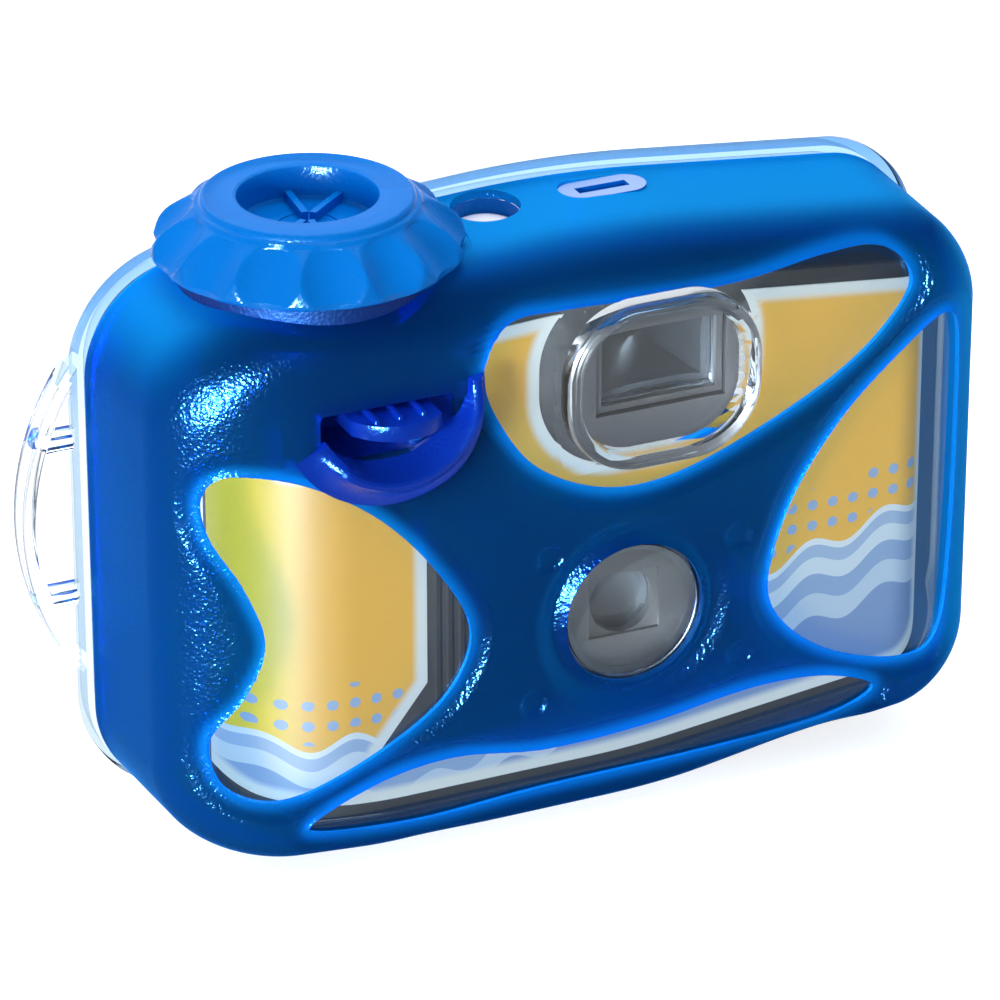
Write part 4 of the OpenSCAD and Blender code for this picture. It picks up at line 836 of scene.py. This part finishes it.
def make_front_shell():
    obj = shell("clear_front_shell", front_rings(SHELL_E, 6, 18, 24), front_rings(CAVITY_E, 4, 14, 12))
    combine(obj, "UNION", [collar_ring()])
    tower = rod_z("tower", AXIS_X, AXIS_Y, SEAT_Z - 11, SEAT_Z, SEAT_R - SHELL_E, 160)
    combine(tower, "DIFFERENCE", [block_between("behind", 0, 60), capped_cavity("cavity", CAVITY_E)])
    pocket = box_solid("pocket", POCKET_X0 - POCKET_WALL, FRONT_Y + SHELL_E + 0.4, POCKET_Z0 - POCKET_WALL,
                       POCKET_X1 + POCKET_WALL, POCKET_Y + POCKET_WALL, POCKET_Z1 + POCKET_WALL)
    latch = prism_z("latch", latch_outline(0), TOP_PEAK - 4, LATCH_TOP)
    bush = rod_z("bush", AXIS_X, AXIS_Y, SEAT_Z - 5, SEAT_Z - 1, SHAFT_R + 3)
    combine(latch, "DIFFERENCE", [capped_cavity("cavity", CAVITY_E)])
    well = rod_z("well", COUNTER_X, COUNTER_Y, COUNTER_FLOOR - 1.2, TOP_PEAK - 2.4, COUNTER_R + 1.2)
    combine(well, "DIFFERENCE", [block_between("behind", 0, 60)])
    combine(obj, "UNION", [tower, pocket, latch, bush, well])
    cuts = [box_solid("cut", POCKET_X0, FRONT_Y - 5, POCKET_Z0, POCKET_X1, POCKET_Y, POCKET_Z1),
            rod_z("cut", AXIS_X, AXIS_Y, SEAT_Z - 20, SEAT_Z + 5, SHAFT_R + BOND_GAP),
            rod_z("cut", PLUNGER_X, PLUNGER_Y, POCKET_Z0 - 5, POCKET_Z0 + 1, PLUNGER_R + BOND_GAP, 48),
            prism_y("cut", circle(LENS_X, LENS_Z, PORT_R - 0.4), FRONT_Y - 5, FRONT_Y + SHELL_E + 1),
            prism_y("cut", circle(LENS_X, LENS_Z, PORT_R - 1.6), FRONT_Y - 5, FRONT_Y + CAVITY_E + 2),
            rod_z("cut", COUNTER_X, COUNTER_Y, TOP_PEAK - 10, TOP_PEAK + 1, COUNTER_R - 1.2),
            rod_z("cut", COUNTER_X, COUNTER_Y, COUNTER_FLOOR, TOP_PEAK + 1, COUNTER_R),
            box_solid("cut", LATCH_X - 3.6, LATCH_Y - 0.9, TOP_PEAK - 1.8,
                      LATCH_X + 3.6, LATCH_Y + 0.9, TOP_PEAK + 2)]
    combine(obj, "DIFFERENCE", cuts)
    finish_piece(obj, WALL, "case", "clear_case", "front_shell")
    # The clear neck under the knob is painted dark navy, painted shade for the knob's shadow and the dark seal inside
    # it; the lever's pocket, the slot of the latch and the counter's well take the blue round them, and the collar is
    # thick enough to bend light.
    for material in (NECK, CLEAR, DEEP, LATCH, PEARL):
        obj.data.materials.append(material)
    place = {material.name: k for k, material in enumerate(obj.data.materials)}
    low_x, high_x = COLLAR_X - COLLAR_W / 2 - 0.1, COLLAR_X + COLLAR_W / 2 + 0.1
    low_z, high_z = FINDER_Z - COLLAR_H / 2 - 0.1, FINDER_Z + COLLAR_H / 2 + 0.1
    for face in obj.data.polygons:
        x, y, z = (v / MM for v in face.center)
        if math.hypot(x - AXIS_X, y - AXIS_Y) < SEAT_R - SHELL_E + 0.02 and z > SEAT_Z - 6:
            face.material_index = place[NECK.name]
        elif (y > FRONT_Y + SHELL_E - 0.1 and POCKET_X0 - 1.3 < x < POCKET_X1 + 1.3
              and POCKET_Z0 - 1.3 < z < POCKET_Z1 + 1.3):
            face.material_index = place[DEEP.name]
        elif low_x < x < high_x and low_z < z < high_z and y < FRONT_Y + CAVITY_E + 0.1:
            face.material_index = place[CLEAR.name]
        elif z > TOP_PEAK - 3 and abs(x - LATCH_X) < LATCH_W / 2 + 0.1 and abs(y - LATCH_Y) < LATCH_D / 2 + 0.1:
            face.material_index = place[LATCH.name if z > LATCH_TOP - 0.1 else PEARL.name]
        elif math.hypot(x - COUNTER_X, y - COUNTER_Y) < COUNTER_R + 0.1 and z > COUNTER_FLOOR - 0.1:
            face.material_index = place[PEARL.name]
    return obj


def rim_ring():
    """Rounded flange of the rear shell."""
    steps = [(0.6, 0.0), (-RIM_W + 0.5, 0.0), (-RIM_W + 0.12, 0.15), (-RIM_W, 0.55), (-RIM_W, RIM_T - 0.6),
             (-RIM_W + 0.2, RIM_T - 0.15), (-RIM_W + 0.7, RIM_T), (0.6, RIM_T)]
    return tube_solid("rim", [at_depth(trace(draw_in(CASE, RIM_DRAW if d < 0 else EVEN, d), COUNTS), y)
                              for d, y in steps])


def swept_bar(name, path, normals, half_w, half_t, y_mid, r):
    """Bar with a rounded section along a path in the plane of the seam."""
    section = rounded_box(-half_w, -half_t, half_w, half_t, r, 0.25)
    rings = [np.array([(p[0] + s * n[0], y_mid + t, p[1] + s * n[1]) for s, t in section])
             for p, n in zip(path, normals)]
    return capped_solid(name, rings)


def strap_loop():
    sag = LOOP_REACH + 1
    r = (LOOP_L ** 2 / 4 + sag ** 2) / (2 * sag)
    cx = -BODY_LEFT - LOOP_REACH + r
    reach = math.acos((cx + BODY_LEFT + 0.6) / r)
    angles = np.linspace(math.pi - reach, math.pi + reach, 60)
    normals = [(math.cos(a), math.sin(a)) for a in angles]
    path = [(cx + (r - LOOP_BAND / 2) * c, LOOP_Z + (r - LOOP_BAND / 2) * s) for c, s in normals]
    y_mid = 0.4 + LOOP_T / 2
    pieces = [swept_bar("bow", path, normals, LOOP_BAND / 2, LOOP_T / 2, y_mid, 0.6)]
    for k in (-1, 1):
        z = LOOP_Z + k * (SLOT_L + STRUT_T) / 2
        bow_x = cx - math.sqrt((r - 1.0) ** 2 - (z - LOOP_Z) ** 2)
        line = [(bow_x + t * (-BODY_LEFT - 0.6 - bow_x), z) for t in (0, 0.5, 1)]
        pieces.append(swept_bar("strut", line, [(0, 1)] * 3, STRUT_T / 2, LOOP_T / 2 - 0.2, y_mid, 0.6))
    return pieces


def make_rear_shell():
    inner = rear_rings(WALL_T, 4, 12, 12)
    obj = shell("clear_rear_shell", rear_rings(0, 5, 16, 24), inner)
    seat = rod_z("seat", AXIS_X, AXIS_Y, SEAT_Z - 8, SEAT_Z - 0.5, SEAT_R, 160)
    hollow = capped_solid("hollow", [np.column_stack([r[:, 0], r[:, 1] - (3 if k == 0 else 0), r[:, 2]])
                                     for k, r in enumerate(inner)])
    combine(seat, "DIFFERENCE", [block_between("before", -60, 0), hollow])
    eyepiece = prism_y("eyepiece", rounded_box(FINDER_X - 8.5, FINDER_Z - 7, FINDER_X + 8.5, FINDER_Z + 6, 3),
                       REAR_DEPTH - 1, REAR_DEPTH + 1.4)
    combine(obj, "UNION", [rim_ring(), seat, eyepiece] + strap_loop())
    combine(obj, "DIFFERENCE", [knob_room()])
    recess = rounded_box(FINDER_X - 7.2, FINDER_Z - 5.7, FINDER_X + 7.2, FINDER_Z + 4.7, 2)
    combine(obj, "DIFFERENCE", [prism_y("cut", recess, REAR_DEPTH - 0.6, REAR_DEPTH + 3)])
    finish_piece(obj, WALL, "case", "clear_case", "rear_shell")
    obj.data.materials.append(LOOP)
    obj.data.materials.append(RIM)
    for face in obj.data.polygons:
        if face.center.x / MM < -BODY_LEFT - RIM_W - 0.2:
            face.material_index = 1
        elif face.center.y / MM < RIM_T + 0.1:
            face.material_index = 2
    return obj


# Label on the inner camera

def label_path(r, spacing):
    """Plan of the label: round the film cassette, straight along the front and a little round the right end."""
    front = AXIS_Y - r
    bend = CAM_BEND + r - COVER_R
    turn = np.radians(np.linspace(176, 270, round(24 / spacing)))
    path = [(AXIS_X + r * math.cos(a), AXIS_Y + r * math.sin(a)) for a in turn]
    straight = CAM_RIGHT - CAM_BEND
    path += [(x, front) for x in np.linspace(AXIS_X, straight, round((straight - AXIS_X) / spacing))[1:]]
    path += [(straight + bend * math.cos(a), front + bend + bend * math.sin(a))
             for a in np.radians(np.linspace(270, 355, round(9 / spacing)))[1:]]
    return np.array(path)


def make_label():
    spacing = 0.6
    heights = np.linspace(LABEL_LOW, LABEL_HIGH, round((LABEL_HIGH - LABEL_LOW) / spacing))
    front, back = label_path(COVER_R + LABEL_T + BOND_GAP, spacing), label_path(COVER_R + BOND_GAP, spacing)
    rings = [np.vstack([at_height(front, z), at_height(back, z)[::-1]]) for z in heights]
    obj = capped_solid("front_label_sheet", rings)
    outline = draw_in(CASE, LABEL_DRAW, CAM_INSET)
    outline = trace(outline, step_counts(outline, 0.6))
    notch = np.array([(LEVER_X + p, LENS_Z + q)
                      for p, q in [(6.6, 18), (6.6, -6.5), (-0.4, -15.4), (20, -15.4), (20, 18)]])
    shutter = rounded_box(POCKET_X0 - 2, POCKET_Z0 - 3.5, POCKET_X1 + 2, 100, 0.2)
    combine(obj, "INTERSECT", [prism_y("outline", outline, -40, AXIS_Y + 2)])
    collar = collar_outline(1.4)
    cuts = [notch, shutter, collar, circle(LENS_X, LENS_Z, PORT_R + 0.5, 128)]
    combine(obj, "DIFFERENCE", [prism_y("cut", c, -40, AXIS_Y + 3) for c in cuts])
    combine(obj, "DIFFERENCE", [box_solid("cut", -80, -60, LABEL_TOP, 80, 40, 100)])
    flat = np.array([v.co for v in obj.data.vertices])[:, [0, 2]] / MM
    to_curves = np.min([curve_distance(flat, c) for c in (outline, notch, shutter, collar)], 0)
    gap = np.minimum(LABEL_TOP - flat[:, 1], to_curves)
    # Painted shade mask: 1 near the windows, 0 where the skin covers the label.
    shown = 1 - smooth_step(3.5, 5.0, window_distance(flat))
    mark_points(obj, "edge", gap)
    mark_points(obj, "shown", shown)
    return finish_piece(obj, LABEL, "case", "paper_label", "front_label")


# Repeated ribs

def node_group(name, sizes):
    """Geometry tree with named sizes, and the object it grows on."""
    tree = bpy.data.node_groups.new(name, "GeometryNodeTree")
    for size in sizes:
        kind = "NodeSocketInt" if size == "Count" else "NodeSocketFloat"
        tree.interface.new_socket(size, in_out="INPUT", socket_type=kind)
    tree.interface.new_socket("Geometry", in_out="OUTPUT", socket_type="NodeSocketGeometry")
    return tree, tree.nodes.new("NodeGroupInput")


def grown(name, tree, sizes):
    """Plain mesh object made by a geometry tree."""
    obj = new_piece(name, [(0, 0, 0)], [])
    modifier = obj.modifiers.new(name, "NODES")
    modifier.node_group = tree
    for item in tree.interface.items_tree:
        if item.in_out == "INPUT":
            modifier[item.identifier] = sizes[item.name]
    apply_modifiers(obj)
    return obj


def cover_ribs():
    """Upright ribs on the front cover beside the lens, seen past the end of the label."""
    tree, sizes = node_group("cover_ribs", ("Count", "Pitch", "Width", "Depth", "Height"))
    extent = add(tree, "ShaderNodeCombineXYZ", {
        "X": sizes.outputs["Width"], "Y": sizes.outputs["Depth"], "Z": sizes.outputs["Height"]})
    box = add(tree, "GeometryNodeMeshCube", {"Size": extent.outputs[0]})
    stride = add(tree, "ShaderNodeCombineXYZ", {"X": sizes.outputs["Pitch"]})
    row = add(tree, "GeometryNodeMeshLine", {"Count": sizes.outputs["Count"], "Offset": stride.outputs[0]},
              {"Start Location": (-0.0182, AXIS_Y * MM - COVER_R * MM - 0.0001, 0.0285)})
    copies = add(tree, "GeometryNodeInstanceOnPoints", {"Points": row.outputs[0], "Instance": box.outputs[0]})
    real = add(tree, "GeometryNodeRealizeInstances", {0: copies.outputs[0]})
    finished = add(tree, "GeometryNodeSetMaterial", {0: real.outputs[0]}, {"Material": GREY})
    add(tree, "NodeGroupOutput", {0: finished.outputs[0]})
    return grown("cover_ribs", tree, {"Count": 6, "Pitch": 0.0017, "Width": 0.0006, "Depth": 0.0005, "Height": 0.028})


def well_ribs():
    """Ribs on the floor of the knob's well: two that meet in a narrow V, and the two opposite them."""
    tree, sizes = node_group("well_ribs", ("Count", "Inner", "Outer", "Width", "Height"))
    length = add(tree, "ShaderNodeMath", {0: sizes.outputs["Outer"], 1: sizes.outputs["Inner"]}, operation="SUBTRACT")
    extent = add(tree, "ShaderNodeCombineXYZ", {
        "X": length.outputs[0], "Y": sizes.outputs["Width"], "Z": sizes.outputs["Height"]})
    box = add(tree, "GeometryNodeMeshCube", {"Size": extent.outputs[0]})
    total = add(tree, "ShaderNodeMath", {0: sizes.outputs["Outer"], 1: sizes.outputs["Inner"]}, operation="ADD")
    middle = add(tree, "ShaderNodeMath", {0: total.outputs[0]}, {1: 0.5}, operation="MULTIPLY")
    ring_mesh = add(tree, "GeometryNodeMeshCircle", {"Vertices": sizes.outputs["Count"], "Radius": middle.outputs[0]})
    index = add(tree, "GeometryNodeInputIndex")
    part = add(tree, "ShaderNodeMath", {0: index.outputs[0], 1: sizes.outputs["Count"]}, operation="DIVIDE")
    turn = add(tree, "ShaderNodeMath", {0: part.outputs[0]}, {1: 2 * math.pi}, operation="MULTIPLY")
    angle = add(tree, "ShaderNodeCombineXYZ", {"Z": turn.outputs[0]})
    place_in_four = add(tree, "ShaderNodeMath", {0: index.outputs[0]}, {1: 4.0}, operation="MODULO")
    kept = add(tree, "ShaderNodeMath", {0: place_in_four.outputs[0]}, {1: 1.5}, operation="LESS_THAN")
    copies = add(tree, "GeometryNodeInstanceOnPoints", {"Points": ring_mesh.outputs[0], "Instance": box.outputs[0],
                                                        "Selection": kept.outputs[0], "Rotation": angle.outputs[0]})
    real = add(tree, "GeometryNodeRealizeInstances", {0: copies.outputs[0]})
    place = add(tree, "GeometryNodeTransform", {0: real.outputs[0]},
                {"Translation": (AXIS_X * MM, AXIS_Y * MM, (KNOB_Z0 + 4.0) * MM),
                 "Rotation": (0.0, 0.0, math.radians(39.5))})
    finished = add(tree, "GeometryNodeSetMaterial", {0: place.outputs[0]}, {"Material": PEARL})
    add(tree, "NodeGroupOutput", {0: finished.outputs[0]})
    return grown("well_ribs", tree, {"Count": 8, "Inner": 1.3 * MM, "Outer": (WELL_R + 0.3) * MM, "Width": 0.0009,
                                     "Height": 0.0014})


def join(obj, other):
    """Puts another object's mesh into an object, keeping its materials apart."""
    offset = len(obj.data.materials)
    for material in other.data.materials:
        obj.data.materials.append(material)
    bm = bmesh.new()
    bm.from_mesh(obj.data)
    before = len(bm.faces)
    bm.from_mesh(other.data)
    bm.faces.ensure_lookup_table()
    for face in bm.faces[before:]:
        face.material_index += offset
    bm.to_mesh(obj.data)
    bm.free()
    bpy.data.objects.remove(other)
    shade(obj)
    return obj


# Winding knob

def make_knob():
    """Turned knob with arch-topped finger scoops round a domed skirt, a stepped top ring and a ribbed well."""
    per_flute = 26
    around = FLUTES * per_flute
    angles = np.arange(around) * 2 * math.pi / around
    top = KNOB_H
    foot = [(KNOB_R - 2.4, 0.0), (KNOB_R - 1.4, 0.0), (KNOB_R - 0.7, 0.1)]
    base_r, base_z, edge_r, edge_z = KNOB_R, 0.9, KNOB_R - 5.6, top - 1.3
    low = [(KNOB_R - 0.35, 0.3), (KNOB_R - 0.1, 0.6)]
    cone = [(base_r + (edge_r - base_r) * t + 1.5 * math.sin(math.pi * t), base_z + (edge_z - base_z) * t)
            for t in np.linspace(0, 1, 44)]
    crown = [(KNOB_R - 5.75, top - 1.0), (KNOB_R - 6.0, top - 0.85), (KNOB_R - 6.3, top - 0.75),
             (KNOB_R - 6.45, top - 0.35), (KNOB_R - 6.7, top - 0.08), (KNOB_R - 7.0, top), (12.2, top), (11.2, top)]
    well = [(WELL_R + 0.5, top), (WELL_R + 0.15, top - 0.15), (WELL_R, top - 0.5), (WELL_R, 5.6), (WELL_R - 0.2, 3.8),
            (WELL_R - 0.6, 3.4), (SHAFT_R + 0.05, 3.4), (SHAFT_R + 0.05, 0.4)]
    under = [(SHAFT_R + 2.4, 0.4), (SHAFT_R + 2.4, 2.2), (WELL_R + 1.4, 2.2), (WELL_R + 1.4, top - 2.0),
             (KNOB_R - 7.4, top - 2.0), (KNOB_R - 2.6, 2.4)]
    scooped = range(len(foot) - 1, len(foot) + len(low) + len(cone))
    rings = []
    for k, (r, z) in enumerate(foot + low + cone + crown + well + under):
        rr = np.full(around, r)
        zz = np.full(around, z)
        if k in scooped:
            # Each scoop is a tilted cylinder cut into the dome, with its edge rounded.
            phase = (angles * FLUTES / (2 * math.pi) + 0.5) % 1 - 0.5
            across = np.abs(phase) * 2 * math.pi / FLUTES * r
            t = min(max((z - base_z) / (edge_z - 0.4 - base_z), 0.0), 1.0)
            floor_r = KNOB_R - 0.9 + (edge_r + 0.9 - KNOB_R) * t
            cut = floor_r + SCOOP_R - np.sqrt(SCOOP_R ** 2 - np.minimum(across, SCOOP_R - 0.05) ** 2)
            h = np.clip(0.5 + 0.5 * (cut - rr) / SCOOP_EDGE, 0, 1)
            rr = cut * (1 - h) + rr * h - SCOOP_EDGE * h * (1 - h)
        if abs(z - top) < 0.01 and r > WELL_R + 0.6:
            side = np.abs((np.degrees(angles) - 270 + 180) % 360 - 180)
            zz = zz - 0.5 * smooth_step(74, 78, side) * (r < 12.6)
        rings.append(np.column_stack([AXIS_X + rr * np.cos(angles), AXIS_Y + rr * np.sin(angles), KNOB_Z0 + zz]))
    obj = tube_solid("winding_knob", rings)
    combine(obj, "UNION", [well_ribs()])
    return finish_piece(obj, PEARL, "winder", "blue_knob", "advance_knob", angle=35)


make_skin()
make_front_shell()
make_rear_shell()
make_knob()
make_label()

# Pieces that keep the shape of their solids, with rounded edges
bow_x, bow_y = LEVER_X + 0.9, FRONT_Y - LEVER_OUT + BOW_R
bow = [(bow_x + BOW_R * math.cos(a), bow_y + BOW_R * math.sin(a)) for a in np.linspace(math.pi, 2 * math.pi, 40)]
bow += [(bow_x + BOW_R, POCKET_Y), (bow_x - BOW_R, POCKET_Y)]
smooth_copy("shutter_lever", DEEP, "lever", "blue_skin", 0.25, trim=prism_z("bow", bow, LEVER_Z - 6, LEVER_Z + 4))
smooth_copy("lens_window", CLEAR, "case", "clear_case", 0.15)
# The magnifier is a clear lens; its pale opaque colour is painted reflection.
smooth_copy("counter_lens", MAGNIFIER, "case", "magnifier", 0.1)
smooth_copy("knob_shaft", PEARL, "winder", "blue_knob", 0.2)
join(smooth_copy("front_cover", BLACK, "case", "black_plastic", 0.15), cover_ribs())
smooth_copy("rear_cover", BLACK, "case", "black_plastic", 0.15)
smooth_copy("lens_bezel", GREY, "case", "grey_plastic", 0.12)
smooth_copy("taking_lens", CLEAR, "case", "clear_case")
smooth_copy("finder_front_lens", CLEAR, "case", "clear_case", 0.1)
smooth_copy("finder_rear_lens", CLEAR, "case", "clear_case", 0.1)
spring = smooth_copy("plunger_spring", STEEL, "case", "spring_steel")
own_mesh(spring)
FINISHES = {
    SILICONE: ("shell_gasket",),
    RUBBER: ("knob_seal", "plunger_seal"),
    STEEL: ("knob_clip", "lever_pin", "shutter_blade", "shutter_spring", "strike_lever", "strike_spring",
            "wind_pawl"),
    PEARL: ("release_plunger",),
    BLACK: ("main_frame", "finder_tube", "lens_plate", "light_chamber", "release_button", "winding_wheel", "sprocket",
            "charge_cam", "cassette_spool", "supply_spool"),
    WHITE: ("counter_disc",),
    LACQUER: ("cassette_can", "cassette_cap_top", "cassette_cap_bottom"),
    FILM: ("film_strip", "film_roll"),
}
for material, nodes in FINISHES.items():
    for name in nodes:
        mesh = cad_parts[name].data
        mesh.materials.clear()
        mesh.materials.append(material)


# Stage, light and camera

def turned_light(tree, rays, space, front, behind, least, mirrored):
    """How bright mirrored and refracted rays see the studio: least in front of the object, full behind it."""
    coords = add(tree, "ShaderNodeTexCoord")
    axes = add(tree, "ShaderNodeSeparateXYZ", {0: coords.outputs[space]})
    fade = add(tree, "ShaderNodeMapRange", {"Value": axes.outputs["Y"]},
               {"From Min": front, "From Max": behind, "To Min": least}, interpolation_type="SMOOTHSTEP")
    share = add(tree, "ShaderNodeMath", {0: rays.outputs["Is Glossy Ray"]}, {1: mirrored}, operation="MULTIPLY")
    turned = add(tree, "ShaderNodeMath", {0: share.outputs[0], 1: rays.outputs["Is Transmission Ray"]},
                 operation="MAXIMUM")
    return add(tree, "ShaderNodeMath", {0: turned.outputs[0], 1: fade.outputs[0]}, operation="MULTIPLY")


def make_floor():
    reach = 3000
    corners = [(-reach, -reach, 0), (reach, -reach, 0), (reach, reach, 0), (-reach, reach, 0)]
    floor = new_piece("floor", corners, [(0, 1, 2, 3)])
    material, tree = start_material("white_paper_floor")
    # White paper: the camera sees it white, with the soft shadow of the object; mirrored and refracted rays see it
    # dimmer in front of the object, so that the front keeps its depth of colour.
    rays = add(tree, "ShaderNodeLightPath")
    pooled = turned_light(tree, rays, "Object", front=-0.09, behind=-0.04, least=0.3, mirrored=0.2)
    seen = add(tree, "ShaderNodeMath", {0: rays.outputs["Is Camera Ray"], 1: pooled.outputs[0]}, operation="MAXIMUM")
    glow_level = add(tree, "ShaderNodeMath", {0: seen.outputs[0]}, {1: 0.72}, operation="MULTIPLY")
    paper = add(tree, "ShaderNodeBsdfDiffuse", values={"Color": linear("#B4B4B4")})
    glow = add(tree, "ShaderNodeEmission", {"Strength": glow_level.outputs[0]}, {"Color": (1, 1, 1, 1)})
    both = add(tree, "ShaderNodeAddShader", {0: paper.outputs[0], 1: glow.outputs[0]})
    add(tree, "ShaderNodeOutputMaterial", {"Surface": both.outputs[0]})
    floor.data.materials.append(material)


def make_backdrop():
    world = bpy.data.worlds.new("studio")
    bpy.context.scene.world = world
    world.use_nodes = True
    tree = world.node_tree
    tree.nodes.clear()
    # A white backdrop behind the object and a dim room in front of it; straight rays see plain white.
    rays = add(tree, "ShaderNodeLightPath")
    room = turned_light(tree, rays, "Generated", front=-0.1, behind=0.7, least=0.4, mirrored=0.3)
    soft = add(tree, "ShaderNodeMath", {0: rays.outputs["Is Diffuse Ray"]}, {1: 0.5}, operation="MULTIPLY")
    lit = add(tree, "ShaderNodeMath", {0: rays.outputs["Is Camera Ray"], 1: soft.outputs[0]}, operation="MAXIMUM")
    strength = add(tree, "ShaderNodeMath", {0: lit.outputs[0], 1: room.outputs[0]}, operation="MAXIMUM")
    back = add(tree, "ShaderNodeBackground", {"Strength": strength.outputs[0]}, {"Color": (1, 1, 1, 1)})
    add(tree, "ShaderNodeOutputWorld", {"Surface": back.outputs[0]})


def add_light(name, place, aim, size, power, mirrored=True, spread=True):
    data = bpy.data.lights.new(name, "AREA")
    data.shape = "RECTANGLE"
    data.size, data.size_y = size
    data.energy = power
    obj = bpy.data.objects.new(name, data)
    obj.visible_glossy, obj.visible_diffuse = mirrored, spread
    obj.location = place
    obj.rotation_euler = (Vector(aim) - Vector(place)).to_track_quat("-Z", "Y").to_euler()
    bpy.context.scene.collection.objects.link(obj)


def make_camera():
    azimuth, elevation, distance = math.radians(-24.5), math.radians(26), 0.8
    target = Vector((0.0008, 0, 0.0339))
    level = math.cos(elevation)
    away = Vector((math.sin(azimuth) * level, -math.cos(azimuth) * level, math.sin(elevation)))
    data = bpy.data.cameras.new("camera")
    data.sensor_width = 36
    data.lens = 216
    camera = bpy.data.objects.new("camera", data)
    camera.location = target + away * distance
    camera.rotation_euler = (-away).to_track_quat("-Z", "Y").to_euler()
    bpy.context.scene.collection.objects.link(camera)
    bpy.context.scene.camera = camera


make_floor()
make_backdrop()
add_light("key", (-0.72, -0.58, 0.2), (0, 0, 0.04), (0.22, 0.22), 6.5)
add_light("glint", (-0.66, -0.68, 0.12), (0, 0, 0.04), (0.2, 0.2), 170, spread=False)
add_light("top", (0.1, 0.15, 0.9), (0, 0, 0.05), (0.6, 0.4), 5, mirrored=False)
add_light("back", (0.15, 0.7, 0.5), (0, 0, 0.05), (0.8, 0.5), 9, mirrored=False)
make_camera()
bpy.context.scene.view_settings.view_transform = "Standard"
